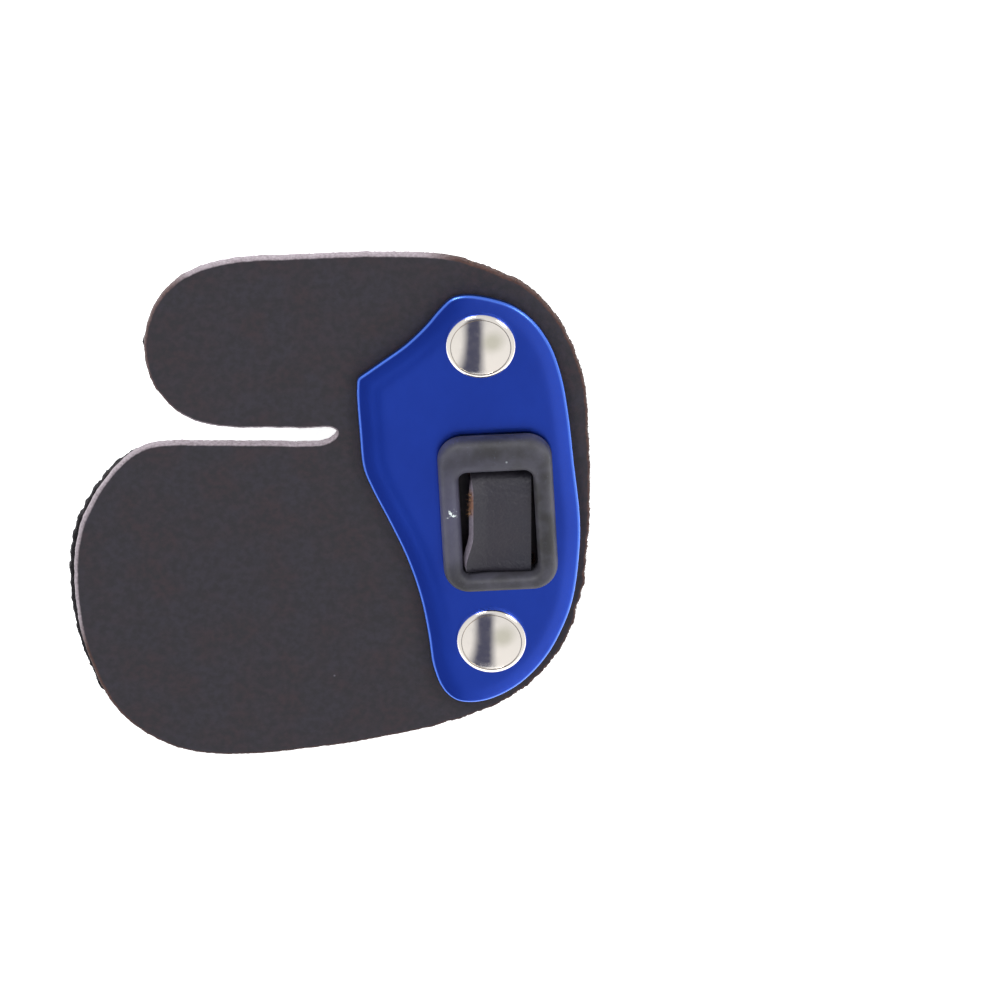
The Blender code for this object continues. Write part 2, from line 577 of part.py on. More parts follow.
def strap_grid():
    """The route read at even steps: middles, widths and keeper marks."""
    rows = strap_route()
    middles, widths, marks = [], [], []
    for number in range(len(rows) - 1):
        ends = [rows[min(max(number + shift, 0), len(rows) - 1)] for shift in (-1, 0, 1, 2)]
        length = (ends[2][0] - ends[1][0]).length
        steps = max(1, round(length / STRAP_STEP))
        knots = [0.0]
        for a, b in zip(ends, ends[1:]):
            knots.append(knots[-1] + max((b[0] - a[0]).length, 0.01 * MM) ** 0.5)
        last = number == len(rows) - 2
        for step in range(steps + (1 if last else 0)):
            share = step / steps
            t = knots[1] + (knots[2] - knots[1]) * share
            middles.append(catmull_point([end[0] for end in ends], knots, t))
            widths.append(ends[1][1].lerp(ends[2][1], ease(share)).normalized())
            known = ends[1][2] is not None and ends[2][2] is not None
            marks.append(ends[1][2] + (ends[2][2] - ends[1][2]) * share if known else None)
    return middles, widths, marks


def make_strap(look, folders):
    """One leather strap: keeper end, loop, front run, then through its own slit to the cut tail."""
    middles, widths, marks = strap_grid()
    slit_edge = KEEPER_SLIT_WIDTH / STRAP_WIDTH
    lanes = (-1.0, -(1.0 + slit_edge) / 2, -slit_edge, slit_edge, (1.0 + slit_edge) / 2, 1.0)
    lift = (STRAP_THICK + SEAT_GAP) / 2
    last = len(middles) - 1
    shape = bmesh.new()
    rows = []
    for number, (middle, width, mark) in enumerate(zip(middles, widths, marks)):
        row = []
        before, after = middles[max(number - 1, 0)], middles[min(number + 1, last)]
        way = (after - before).normalized()
        tail_left = (middles[last] - middle).length
        for lane in lanes:
            spot = middle + width * (lane * STRAP_WIDTH / 2)
            if mark is not None:
                open_share = 1.0 - ease((abs(mark) / KEEPER_SLIT_LENGTH - KEEPER_OPEN) / KEEPER_CLOSING)
                spot.z -= lift * open_share * (1.0 if lane > 0.0 else -1.0)
            if number > last // 2 and tail_left < TAIL_CUT:
                spot -= way * ((TAIL_CUT - tail_left) * (lane + 1.0) / 2 * TAIL_SHARE)
            row.append(shape.verts.new(spot))
        rows.append(row)
    centre_lane = lanes.index(slit_edge) - 1
    for number in range(last):
        near, far = marks[number], marks[number + 1]
        in_slit = near is not None and far is not None and abs(near + far) / 2 < KEEPER_SLIT_LENGTH / 2
        for lane in range(len(lanes) - 1):
            if in_slit and lane == centre_lane:
                continue
            a, b = rows[number], rows[number + 1]
            shape.faces.new((a[lane], a[lane + 1], b[lane + 1], b[lane]))
    mesh = bpy.data.meshes.new("strap")
    shape.to_mesh(mesh)
    shape.free()
    strap = bpy.data.objects.new("strap", mesh)
    wall = strap.modifiers.new("wall", "SOLIDIFY")
    wall.thickness = STRAP_THICK
    wall.offset = 0.0
    wall.use_even_offset = True
    return finish(strap, look, folders)


def solid_figures(piece):
    """World points, volume and centre of a piece as the viewport shows it."""
    seen = piece.evaluated_get(bpy.context.evaluated_depsgraph_get())
    mesh = seen.to_mesh()
    mesh.calc_loop_triangles()
    place_now = np.array(piece.matrix_world)
    points = np.array([v.co for v in mesh.vertices]) @ place_now[:3, :3].T + place_now[:3, 3]
    corners = points[np.array([t.vertices[:] for t in mesh.loop_triangles])]
    parts = np.einsum("ij,ij->i", corners[:, 0], np.cross(corners[:, 1], corners[:, 2])) / 6.0
    centre = (corners.sum(axis=1) / 4.0 * parts[:, None]).sum(axis=0) / parts.sum()
    seen.to_mesh_clear()
    return points, parts.sum(), centre


def resting_turn(points, centre):
    """Rotation that lays the tab on the side of its convex hull that carries its centre of mass."""
    shape = bmesh.new()
    for point in points:
        shape.verts.new(point)
    bmesh.ops.convex_hull(shape, input=shape.verts)
    best, best_down = None, 0.5
    middle = Vector(centre)
    for side in shape.faces:
        corners = [v.co.copy() for v in side.verts]
        normal = side.normal.normalized()
        foot = middle + normal * (corners[0] - middle).dot(normal)
        turns = [(b - a).cross(foot - a).dot(normal) for a, b in zip(corners, corners[1:] + corners[:1])]
        if -normal.z > best_down and all(turn >= -1e-12 for turn in turns):
            best, best_down = normal.copy(), -normal.z
    shape.free()
    up = -best
    palm = (Vector((1.0, 0.0, 0.0)) - up * up.x).normalized()
    return Matrix((palm, up.cross(palm), up)).to_4x4()


def lay_down(pieces, weights, cutters):
    """Hangs everything on one empty and lays that on the table, with the origin under the middle."""
    bpy.context.view_layer.update()
    figures = [solid_figures(piece) for piece in pieces]
    points = np.concatenate([f[0] for f in figures])
    masses = np.array([f[1] * w for f, w in zip(figures, weights)])
    centre = (np.array([f[2] for f in figures]) * masses[:, None]).sum(axis=0) / masses.sum()
    turn = resting_turn(points, centre)
    laid = points @ np.array(turn.to_3x3()).T
    low, high = laid.min(axis=0), laid.max(axis=0)
    rest = bpy.data.objects.new("tab_rest", None)
    rest.empty_display_size = 10 * MM
    bpy.context.scene.collection.objects.link(rest)
    shift = Matrix.Translation((-(low[0] + high[0]) / 2, -(low[1] + high[1]) / 2, -low[2]))
    rest.matrix_world = shift @ turn
    for piece in list(pieces) + list(cutters):
        piece.parent = rest


def main():
    for old in list(bpy.data.objects):
        bpy.data.objects.remove(old)
    folders = {}
    for key, name in (("tab", "archery_finger_tab"), ("cutters", "cutters")):
        folders[key] = bpy.data.collections.new(name)
        bpy.context.scene.collection.children.link(folders[key])
    leather = material("smooth_leather", (0.055, 0.048, 0.056), 0.62)
    suede = material("black_suede", (0.022, 0.022, 0.023), 0.95)
    metal = material("blue_anodised_aluminium", (0.02, 0.06, 0.42), 0.28, 1.0)
    rubber = material("dark_rubber", (0.045, 0.046, 0.052), 0.55)
    nickel = material("nickel_plated_steel", (0.72, 0.70, 0.66), 0.14, 1.0)
    strap_look = material("strap_leather", (0.058, 0.054, 0.06), 0.5)
    pieces = [(make_face(leather, folders), DENSITY["leather"])]
    pieces += [(piece, DENSITY["suede"]) for piece in make_backings(suede, folders)]
    pieces.append((make_plate(metal, folders), DENSITY["aluminium"]))
    pieces.append((make_spacer(rubber, folders), DENSITY["rubber"]))
    pieces += [(piece, DENSITY["steel"]) for piece in make_rivets(nickel, folders)]
    pieces.append((make_strap(strap_look, folders), DENSITY["leather"]))
    lay_down([piece for piece, density in pieces], [density for piece, density in pieces],
             folders["cutters"].objects)


main()
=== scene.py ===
"""Looks of an archery finger tab that lies face up on a white table.

Lengths are millimetres in the tab's own axes: x towards the palm, y towards the index finger, z out of
the leather face, with zero in the middle of that face. to_world() turns them to the frame's metres.
"""

import json

import bpy
import numpy as np
from mathutils import Matrix, Vector
from mathutils.geometry import delaunay_2d_cdt


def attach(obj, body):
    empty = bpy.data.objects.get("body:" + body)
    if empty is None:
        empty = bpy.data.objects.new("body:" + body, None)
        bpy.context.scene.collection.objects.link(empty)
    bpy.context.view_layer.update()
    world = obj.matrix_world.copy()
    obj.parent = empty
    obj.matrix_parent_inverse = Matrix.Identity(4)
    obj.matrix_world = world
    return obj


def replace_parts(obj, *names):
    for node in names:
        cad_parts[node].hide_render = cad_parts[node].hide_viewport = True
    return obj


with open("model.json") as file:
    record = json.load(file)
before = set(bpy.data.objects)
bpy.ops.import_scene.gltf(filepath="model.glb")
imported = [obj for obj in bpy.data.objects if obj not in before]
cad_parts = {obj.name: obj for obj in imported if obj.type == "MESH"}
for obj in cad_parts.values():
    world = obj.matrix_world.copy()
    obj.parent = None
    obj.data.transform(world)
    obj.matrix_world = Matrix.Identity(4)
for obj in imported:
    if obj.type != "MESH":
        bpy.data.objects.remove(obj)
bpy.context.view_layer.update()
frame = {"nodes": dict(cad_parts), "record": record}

MM = 0.001
SEED = 20

# Leather, suede and plate
FACE_THICK = 1.4
SUEDE_THICK = 1.6
SEAT_GAP = 0.3
PLATE_THICK = 1.2
PLATE_EDGE_ROUND = 0.4
PLATE_BORDER, PLATE_DROP, PLATE_CREASE = 2.2, 0.12, 0.03
CUT_STEP = 0.28                # between two samples along a cut edge

# Rubber frame and spacer
FRAME_REACH, FRAME_SPAN, FRAME_HEIGHT = 14.9, 21.8, 2.4
FRAME_CORNER, FRAME_INNER_CORNER = 3.3, 1.2
FRAME_SIDE_BAR, FRAME_TOP_BAR, FRAME_LOW_BAR = 2.6, 4.8, 2.2
FRAME_SKIRT = 0.9
FRAME_CENTRE = (21.9, 0.3)
FRAME_TURN = np.radians(3.0)
ARM_LENGTH, ARM_WIDTH, ARM_STAND, ARM_THICK = 33.0, 7.2, 20.0, 6.4
ARM_HEADING = np.radians(4.5)
ARM_SQUARE, ARM_TIP_ROUND = 3.4, 0.7       # power of the arm's superellipse, and its tip's rounding
ROOT_REACH, ROOT_WIDTH, ROOT_SHIFT = 7.0, 3.6, 1.5

# Rivets
CAP_DIAMETER = 9.1
SHANK_DIAMETER = 3.0
SMALL_RING, LARGE_RING, RING_HEIGHT = 7.3, 9.9, 0.9
RING_BORE, RING_BORE_DEPTH = 2.6, 1.6
UPPER_RIVET, LOWER_RIVET, STRAP_RIVET = (19.7, 23.9), (21.1, -18.6), (22.0, -1.3)
FLAT_HEAD_DIAMETER, FLAT_HEAD_HEIGHT = 7.2, 0.9

# Strap
STRAP_WIDTH, STRAP_THICK = 7.9, 1.2
STRAP_X, STRAP_SLIT_UPPER, STRAP_SLIT_LOWER = 22.3, 5.3, -7.5
LOOP_REACH, LEG_LENGTH, TAIL_LENGTH = 14.0, 15.0, 27.7
TAIL_CURVE, TAIL_HEADING, TAIL_CUT = 60.0, np.radians(50.0), 7.0
KEEPER_SLIT_LENGTH, KEEPER_SLIT_WIDTH, KEEPER_END = 9.2, 3.2, 2.2
STRAP_COUNT, STRAP_SAMPLES = 420, 4000     # rows of the strap's grid, and samples to space them evenly
RUN_CURL, RUN_FLARE, RUN_CREASE = 0.85, 0.95, 0.09

# Places of wear, and of a painted highlight
TAN_SPOT = (18.2, 1.8, 2.8)    # where the strap's cut edge in the window is torn and tan
DUST_AND_HIGHLIGHT_SPOT = (16.0, 0.7, 4.2)   # white dust on the rubber frame, and the middle of a painted bluish highlight round it

# Levels, measured from the front of the leather face
FACE_BACK = -FACE_THICK
SUEDE_FRONT = FACE_BACK - SEAT_GAP
SUEDE_BACK = SUEDE_FRONT - SUEDE_THICK
PLATE_BACK = SEAT_GAP
PLATE_FRONT = PLATE_BACK + PLATE_THICK
FRAME_BACK = PLATE_FRONT + SEAT_GAP

# The photograph: its width at the tab, the sensor's, the view's lean off the tab's normal, the distance
PHOTO_WIDTH = 130.0
SENSOR = 36.0
VIEW_LEAN = np.radians(25.8)
CAMERA_DISTANCE = 3000.0
PHOTO_MIDDLE = (22.2, 0.9)     # the spot in the tab's plane in the middle of the photograph


def ease(share):
    """Smooth step from 0 to 1."""
    share = np.clip(share, 0.0, 1.0)
    return share * share * (3.0 - 2.0 * share)


# The tab's axes

def cad_points(node):
    """Corner points of a CAD node in metres, one row each."""
    mesh = frame["nodes"][node].data
    points = np.empty(len(mesh.vertices) * 3, np.float32)
    mesh.vertices.foreach_get("co", points)
    return points.reshape(-1, 3).astype(float)


def find_tab():
    """The tab's three directions as rows, and where its zero lies, from a mount and a rivet."""
    mounts = {mount["name"]: mount for mount in frame["record"]["mounts"]}
    out = np.array(mounts["string_face"]["axis"], float)
    out /= np.linalg.norm(out)
    palm = np.cross((0.0, 1.0, 0.0), out)
    palm /= np.linalg.norm(palm)
    turn = np.stack((palm, np.cross(out, palm), out))
    rivet = cad_points("rivet_upper") @ turn.T / MM
    face = cad_points("face_leather") @ turn.T / MM
    middle = (rivet.min(axis=0) + rivet.max(axis=0)) / 2
    return turn, np.array((middle[0] - UPPER_RIVET[0], middle[1] - UPPER_RIVET[1], face[:, 2].max()))


TURN, ZERO = find_tab()


def to_world(points):
    """Tab millimetres to the frame's metres."""
    return (np.asarray(points, float) + ZERO) @ TURN * MM


def cad_tab(node):
    """Corner points of a CAD node in tab millimetres."""
    return cad_points(node) @ TURN.T / MM - ZERO


def cad_loops(node, level):
    """Outlines of a CAD sheet's face at one level, the longest first, with the material on their left.

    A side of one of the face's triangles belongs to an outline when no other triangle has it reversed.
    """
    mesh = frame["nodes"][node].data
    mesh.calc_loop_triangles()
    corners = np.empty(len(mesh.loop_triangles) * 3, np.int32)
    mesh.loop_triangles.foreach_get("vertices", corners)
    points = cad_tab(node)
    spots, same = np.unique(np.round(points, 2), axis=0, return_inverse=True)
    corners = same.reshape(-1)[corners.reshape(-1, 3)]
    corners = corners[(np.abs(spots[corners, 2] - level) < 0.05).all(axis=1)]
    sides = {(a, b) for k in range(3) for a, b in zip(corners[:, k], corners[:, (k + 1) % 3])}
    following = {a: b for a, b in sides if (b, a) not in sides and a != b}
    loops = []
    while following:
        walk = [next(iter(following))]
        while walk[-1] in following:
            walk.append(following.pop(walk[-1]))
        loops.append(spots[walk[:-1], :2])
    return sorted(loops, key=lambda loop: -len(loop) * np.ptp(loop[:, 0]))


# Closed outlines

def soft_ring(values, spread):
    """Values round a ring smoothed by a Gaussian of that many steps, in its Fourier spectrum."""
    waves = np.fft.rfftfreq(len(values))
    keep = np.exp(-2.0 * (np.pi * waves * spread) ** 2)
    return np.fft.irfft(np.fft.rfft(values, axis=0) * keep[:, None], len(values), axis=0)


def gaps_between(points):
    """Distances from each point to the next."""
    return np.linalg.norm(np.diff(points, axis=0), axis=1)


def summed(steps):
    """Running total of steps, from 0."""
    return np.concatenate(([0.0], np.cumsum(steps)))


def even_loop(points, step, soften):
    """A closed outline walked at even steps, with its corners softened over a length."""
    closed = np.vstack((points, points[:1]))
    way = summed(gaps_between(closed))
    count = max(12, int(round(way[-1] / step)))
    at = np.linspace(0.0, way[-1], count, endpoint=False)
    walked = np.stack([np.interp(at, way, closed[:, k]) for k in range(2)], axis=1)
    return soft_ring(walked, soften * count / way[-1])


def outward(loop):
    """Unit normals of an outline, away from the material on its left."""
    along = np.roll(loop, -1, axis=0) - np.roll(loop, 1, axis=0)
    along /= np.linalg.norm(along, axis=1, keepdims=True)
    return np.stack((along[:, 1], -along[:, 0]), axis=1)


def ripple(count, shortest, longest, draw, rows=1):
    """Random ripple round a ring, with only the waves between two lengths, given in steps; about 1 high."""
    waves = np.fft.rfftfreq(count)
    keep = (waves > 1.0 / longest) & (waves < 1.0 / shortest)
    spectrum = (draw.normal(size=(rows, len(waves))) + 1j * draw.normal(size=(rows, len(waves)))) * keep
    rough = np.fft.irfft(spectrum, count, axis=1)
    return rough / max(rough.std(), 1e-9)


def inside(points, loops):
    """True for each point that an odd number of the outlines' sides passes on the right."""
    starts = np.concatenate(loops)
    ends = np.concatenate([np.roll(loop, -1, axis=0) for loop in loops])
    result = []
    for block in np.array_split(points, max(1, len(points) // 3000)):
        x, y = block[:, :1], block[:, 1:]
        spans = (starts[:, 1] > y) != (ends[:, 1] > y)
        rise = np.where(ends[:, 1] == starts[:, 1], 1e-12, ends[:, 1] - starts[:, 1])
        cross_x = starts[:, 0] + (y - starts[:, 1]) * (ends[:, 0] - starts[:, 0]) / rise
        result.append((spans & (x < cross_x)).sum(axis=1) % 2 == 1)
    return np.concatenate(result)


def nearest(points, loops):
    """Distance of each point from the nearest sample of the outlines."""
    samples = np.concatenate(loops)
    result = []
    for block in np.array_split(points, max(1, len(points) // 2000)):
        gaps = block[:, None, :] - samples[None, :, :]
        result.append(np.sqrt((gaps ** 2).sum(axis=2).min(axis=1)))
    return np.concatenate(result)


# Meshes

def grid_faces(rows, columns, start=0, round_columns=True):
    """Quads between the points of a grid that is stored row by row; columns close into a ring or not."""
    row = np.arange(rows - 1)[:, None]
    column = np.arange(columns if round_columns else columns - 1)[None, :]
    after = (column + 1) % columns
    quads = np.stack(
        [start + row * columns + column, start + row * columns + after,
         start + (row + 1) * columns + after, start + (row + 1) * columns + column], axis=-1)
    return quads.reshape(-1, 4)


def tube_faces(rows, columns):
    """Quads of a grid of closed rings, and fans that close its ends on two points stored after it."""
    base = rows * columns
    near = np.arange(columns)
    far = base - columns + near
    fans = np.vstack((np.column_stack((np.full(columns, base), np.roll(near, -1), near)),
                      np.column_stack((np.full(columns, base + 1), far, np.roll(far, -1)))))
    return grid_faces(rows, columns), fans


def piece(name, points, quads, triangles=None, looks=(), slot=None, smooth_angle=40.0):
    """A mesh object from tab points and faces, in the frame's metres, riding on the tab."""
    mesh = bpy.data.meshes.new(name)
    faces = list(map(tuple, np.asarray(quads).reshape(-1, 4).tolist()))
    if triangles is not None:
        faces += list(map(tuple, np.asarray(triangles).tolist()))
    mesh.from_pydata(to_world(points).tolist(), [], faces)
    mesh.validate()
    mesh.shade_smooth()
    mesh.set_sharp_from_angle(angle=np.radians(smooth_angle))
    made = bpy.data.objects.new(name, mesh)
    bpy.context.scene.collection.objects.link(made)
    for look in looks:
        mesh.materials.append(look)
    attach(made, "root")
    return made


def mark(made, name, values):
    """One number for each point of a piece, which its material reads."""
    layer = made.data.attributes.new(name, "FLOAT", "POINT")
    layer.data.foreach_set("value", np.asarray(values, np.float32))


LATTICE_ROW, LATTICE_CLEAR = 0.866, 0.6    # shares of the spacing: between two rows, and free of an outline


def fill(rings, spacing):
    """Triangles over the area inside outlines, with a triangular lattice of points between them.

    Returns all points, outlines first, and the triangles; a triangle counts when its middle is inside.
    """
    border = np.concatenate(rings)
    low, high = border.min(axis=0), border.max(axis=0)
    rows = np.arange(low[1], high[1], spacing * LATTICE_ROW)
    columns = np.arange(low[0] - spacing, high[0], spacing)
    x = columns[None, :] + (np.arange(len(rows)) % 2)[:, None] * spacing / 2
    lattice = np.stack((x, np.broadcast_to(rows[:, None], x.shape)), axis=-1).reshape(-1, 2)
    lattice = lattice[inside(lattice, rings)]
    lattice = lattice[nearest(lattice, rings) > spacing * LATTICE_CLEAR]
    points = np.vstack((border, lattice))
    sides, start = [], 0
    for ring in rings:
        count = len(ring)
        sides += [(start + i, start + (i + 1) % count) for i in range(count)]
        start += count
    found = delaunay_2d_cdt([Vector(p) for p in points.tolist()], sides, [], 0, 1e-6)
    origin = np.array([first[0] if first else -1 for first in found[3]])
    triangles = origin[np.array(found[2])]
    triangles = triangles[(triangles >= 0).all(axis=1)]
    triangles = triangles[inside(points[triangles].mean(axis=1), rings)]
    a, b, c = (points[triangles[:, k]] for k in range(3))
    turned = (b[:, 0] - a[:, 0]) * (c[:, 1] - a[:, 1]) - (b[:, 1] - a[:, 1]) * (c[:, 0] - a[:, 0]) < 0.0
    triangles[turned] = triangles[turned][:, ::-1]
    return points, triangles


def sheet(name, loops, profile, spacing, lift, push, looks, slot):
    """A cut sheet: walls carried round its outlines and two filled faces.

    The profile's rows are the inset from the outline and the level, from the front face's rim to the
    back face's. lift(xy, level) adds to the height of any point, and push(loop, rows) gives the
    roughness of the cut, outwards. The mark rim is 1 on the wall between the two faces, and 0 on them.
    """
    insets, levels = np.array(profile).T
    rows = len(profile)
    walls, quads, rims, start = [], [], [], 0
    for loop in loops:
        rings = loop + outward(loop) * (push(loop, rows) - insets[:, None])[:, :, None]
        walls.append(rings)
        quads.append(grid_faces(rows, len(loop), start))
        rims.append(np.repeat([0 < row < rows - 1 for row in range(rows)], len(loop)))
        start += rings.shape[0] * rings.shape[1]
    points = [np.column_stack((wall.reshape(-1, 2), np.repeat(levels, wall.shape[1]))) for wall in walls]
    triangles = []
    for row, flip in ((0, False), (rows - 1, True)):
        flat, faces = fill([wall[row] for wall in walls], spacing)
        known, offset = [], 0
        for wall in walls:
            known.append(offset + row * wall.shape[1] + np.arange(wall.shape[1]))
            offset += wall.shape[0] * wall.shape[1]
        known = np.concatenate(known)
        extra = flat[len(known):]
        number = np.concatenate((known, start + np.arange(len(extra))))
        start += len(extra)
        points.append(np.column_stack((extra, np.full(len(extra), levels[row]))))
        faces = number[faces]
        triangles.append(faces[:, ::-1] if flip else faces)
        rims.append(np.zeros(len(extra), bool))
    points = np.concatenate(points)
    points[:, 2] += lift(points[:, :2], points[:, 2])
    # a ring runs with the material on its left, so the wall's quads face outwards once they are reversed
    made = piece(name, points, np.concatenate(quads)[:, ::-1], np.concatenate(triangles), looks, slot)
    mark(made, "rim", np.concatenate(rims))
    return made, points


# Materials

def tone(code):
    """A hex sRGB colour as linear red, green, blue and alpha."""
    shares = [int(code[i:i + 2], 16) / 255 for i in (1, 3, 5)]
    return tuple(s / 12.92 if s <= 0.04045 else ((s + 0.055) / 1.055) ** 2.4 for s in shares) + (1.0,)


def plug(node, inputs):
    """Fills a node's inputs, by name or in their own order, with values, hex colours or links to results."""
    for name, value in (inputs.items() if isinstance(inputs, dict) else enumerate(inputs)):
        if isinstance(value, bpy.types.NodeSocket):
            node.id_data.links.new(value, node.inputs[name])
        else:
            node.inputs[name].default_value = tone(value) if isinstance(value, str) else value


# A colour Mix has its share and its two colours at these inputs. SET is what a kind of node is always set
# to here, and RESULT the output that counts, where that isn't its first
SHARE, UNDER, OVER = 0, 6, 7
SET = {"Mix": {"data_type": "RGBA"}, "VectorMath": {"operation": "DISTANCE"}}
RESULT = {"Mix": 2, "Attribute": "Fac", "VectorMath": "Value", "TexCoord": "Object"}


def add(look, kind, inputs=(), **settings):
    """Adds a node with its settings and inputs to a material or world, and returns its result."""
    node = look.node_tree.nodes.new("ShaderNode" + kind)
    for name, value in {**SET.get(kind, {}), **settings}.items():
        setattr(node, name, value)
    plug(node, inputs)
    return node.outputs[RESULT.get(kind, 0)]


def blend(look, ranged, under, over):
    """Two colours blended by a pattern: the first below a range of its values, the second above it."""
    return add(look, "Mix", {SHARE: add(look, "MapRange", ranged), UNDER: under, OVER: over})


def new_look(name, **sockets):
    """A material, and its Principled shader with the sockets set that are the same all over."""
    look = bpy.data.materials.new(name)
    look.use_nodes = True
    shader = look.node_tree.nodes["Principled BSDF"]
    plug(shader, {socket.replace("_", " "): value for socket, value in sockets.items()})
    return look, shader


def pattern(spot, size, **more):
    """A texture's inputs on Object coordinates, in metres, for a pattern of that many millimetres."""
    return {"Vector": spot, "Scale": 1.0 / (size * MM), **more}


def smooth_leather():
    """Chrome-tanned cowhide, dyed charcoal: a fine pebbled grain, cloudy brown and violet dye, satin."""
    look, shader = new_look("charcoal_cowhide", Roughness=0.62, Specular_IOR_Level=0.35)
    spot = add(look, "TexCoord")
    # the dye is cloudy over 5 mm and flecked over 0.9 mm
    clouds = add(look, "TexNoise", pattern(spot, 5.0, Detail=4.0))
    flecks = add(look, "TexNoise", pattern(spot, 0.9, Detail=3.0))
    dye = blend(look, (clouds, 0.42, 0.62), "#2e2b33", "#32292e")
    body = blend(look, (flecks, 0.35, 0.65), "#27252a", dye)
    # dust specks 0.3 mm wide, a few on the whole face
    dots = add(look, "TexVoronoi", pattern(spot, 9.0))
    dusty = blend(look, (dots, 0.012, 0.022, 0.6, 0.0), body, "#6a6570")
    # the cut edge shows the hide's undyed grey-pink middle, redder towards the palm
    rim = add(look, "Attribute", attribute_name="rim")
    palm = add(look, "Attribute", attribute_name="palm_side")
    fibre = add(look, "TexNoise", pattern(spot, 0.35, Detail=2.0))
    pale = add(look, "Mix", {SHARE: fibre, UNDER: "#5d5156", OVER: "#b8adb4"})
    raw = add(look, "Mix", {SHARE: fibre, UNDER: "#1d1618", OVER: "#5c3a31"})
    cut = add(look, "Mix", {SHARE: palm, UNDER: pale, OVER: raw})
    colour = add(look, "Mix", {SHARE: rim, UNDER: dusty, OVER: cut})
    # pebbles of the grain, 0.45 mm wide
    pebble = add(look, "TexVoronoi", pattern(spot, 0.45), feature="SMOOTH_F1")
    low = add(look, "Bump", {"Height": pebble, "Distance": 0.05 * MM, "Strength": 0.6})
    high = add(look, "Bump", {"Height": flecks, "Distance": 0.06 * MM, "Strength": 0.5, "Normal": low})
    plug(shader, {"Base Color": colour, "Normal": high})
    return look


def black_suede():
    """Split hide with a brushed nap: deep black, cloudy where the nap lies over, with pale cut fibres."""
    look, shader = new_look("black_suede", Roughness=0.95, Specular_IOR_Level=0.2, Sheen_Weight=0.25,
                            Sheen_Roughness=0.6, Sheen_Tint="#6a6870")
    spot = add(look, "TexCoord")
    # the nap lies over in patches of 3.5 mm, and its fine fibres are drawn 0.28 mm wide to show
    nap = add(look, "TexNoise", pattern(spot, 3.5, Detail=5.0))
    hair = add(look, "TexNoise", pattern(spot, 0.28, Detail=3.0))
    body = blend(look, (nap, 0.35, 0.7), "#161517", "#201f22")
    lit = blend(look, (hair, 0.55, 0.8, 0.0, 0.6), body, "#45434a")
    # cut edges show paler fibres, most towards the palm
    rim = add(look, "Attribute", attribute_name="rim")
    palm = add(look, "Attribute", attribute_name="palm_side")
    frayed = add(look, "Mix", {SHARE: palm, UNDER: "#2b292b", OVER: "#8a8583"})
    cut = blend(look, (hair, 0.5, 0.62), "#1c1a1b", frayed)
    colour = add(look, "Mix", {SHARE: rim, UNDER: lit, OVER: cut})
    bump = add(look, "Bump", {"Height": hair, "Distance": 0.25 * MM, "Strength": 0.7})
    soft = add(look, "Bump", {"Height": nap, "Distance": 0.5 * MM, "Strength": 0.3, "Normal": bump})
    plug(shader, {"Base Color": colour, "Normal": soft})
    return look


def anodised_plate():
    """Bright-dipped aluminium, anodised blue: a coloured metal gleam under a clear hard skin."""
    look, shader = new_look("blue_anodised_aluminium", Metallic=1.0, Roughness=0.3,
                            Coat_Weight=0.35, Coat_Roughness=0.08)
    spot = add(look, "TexCoord")
    cloud = add(look, "TexNoise", pattern(spot, 14.0, Detail=2.0))
    colour = add(look, "Mix", {SHARE: cloud, UNDER: "#294ac2", OVER: "#335ce4"})
    # the rounded rim is painted pale blue, a painted highlight of the gleam on it
    rim = add(look, "Attribute", attribute_name="rim")
    rim_painted_highlight = add(look, "Mix", {SHARE: rim, UNDER: colour, OVER: "#4a74de"})
    # rolling marks and orange peel under the dye, drawn 1.6 mm wide to show
    peel = add(look, "TexNoise", pattern(spot, 1.6, Detail=3.0))
    bump = add(look, "Bump", {"Height": peel, "Distance": 0.03 * MM, "Strength": 0.35})
    plug(shader, {"Base Color": rim_painted_highlight, "Normal": bump})
    return look


def moulded_rubber():
    """Moulded synthetic rubber: dark grey, satin, with a bloom, dust caught in it, and a painted bluish
    highlight.
    """
    look, shader = new_look("moulded_rubber", Roughness=0.55)
    spot = add(look, "TexCoord")
    # bloom in patches of 4 mm, dust in grains that are drawn 0.35 mm wide to show, and specks of 0.3 mm
    bloom = add(look, "TexNoise", pattern(spot, 4.0, Detail=5.0))
    dust = add(look, "TexNoise", pattern(spot, 0.35, Detail=2.0))
    body = blend(look, (bloom, 0.4, 0.62), "#2a292b", "#42414a")
    dusty = blend(look, (dust, 0.64, 0.8, 0.0, 0.35), body, "#565a6a")
    specks = add(look, "TexVoronoi", pattern(spot, 6.5))
    dotted = blend(look, (specks, 0.015, 0.035, 0.8, 0.0), dusty, "#c4ccd0")
    # the fingertip side of the frame is painted bluish as a painted highlight, round a cluster of white dust
    away = add(look, "VectorMath", (spot, tuple(to_world(DUST_AND_HIGHLIGHT_SPOT))))
    bluish = blend(look, (away, 1.0 * MM, 11.0 * MM, 0.5, 0.0), dotted, "#565570")
    near = add(look, "MapRange", (away, 0.2 * MM, 1.0 * MM, 0.2, 0.0))
    heap = add(look, "Math", (dust, near), operation="ADD")
    chip = add(look, "MapRange", (heap, 0.68, 0.76))
    chipped = add(look, "Math", (chip, near), operation="MULTIPLY")
    shown = add(look, "Math", (chipped, 9.0), operation="MULTIPLY", use_clamp=True)
    colour = add(look, "Mix", {SHARE: shown, UNDER: bluish, OVER: "#dfeae8"})
    bump = add(look, "Bump", {"Height": dust, "Distance": 0.05 * MM, "Strength": 0.5})
    wavy = add(look, "Bump", {"Height": bloom, "Distance": 0.3 * MM, "Strength": 0.25, "Normal": bump})
    plug(shader, {"Base Color": colour, "Normal": wavy})
    return look


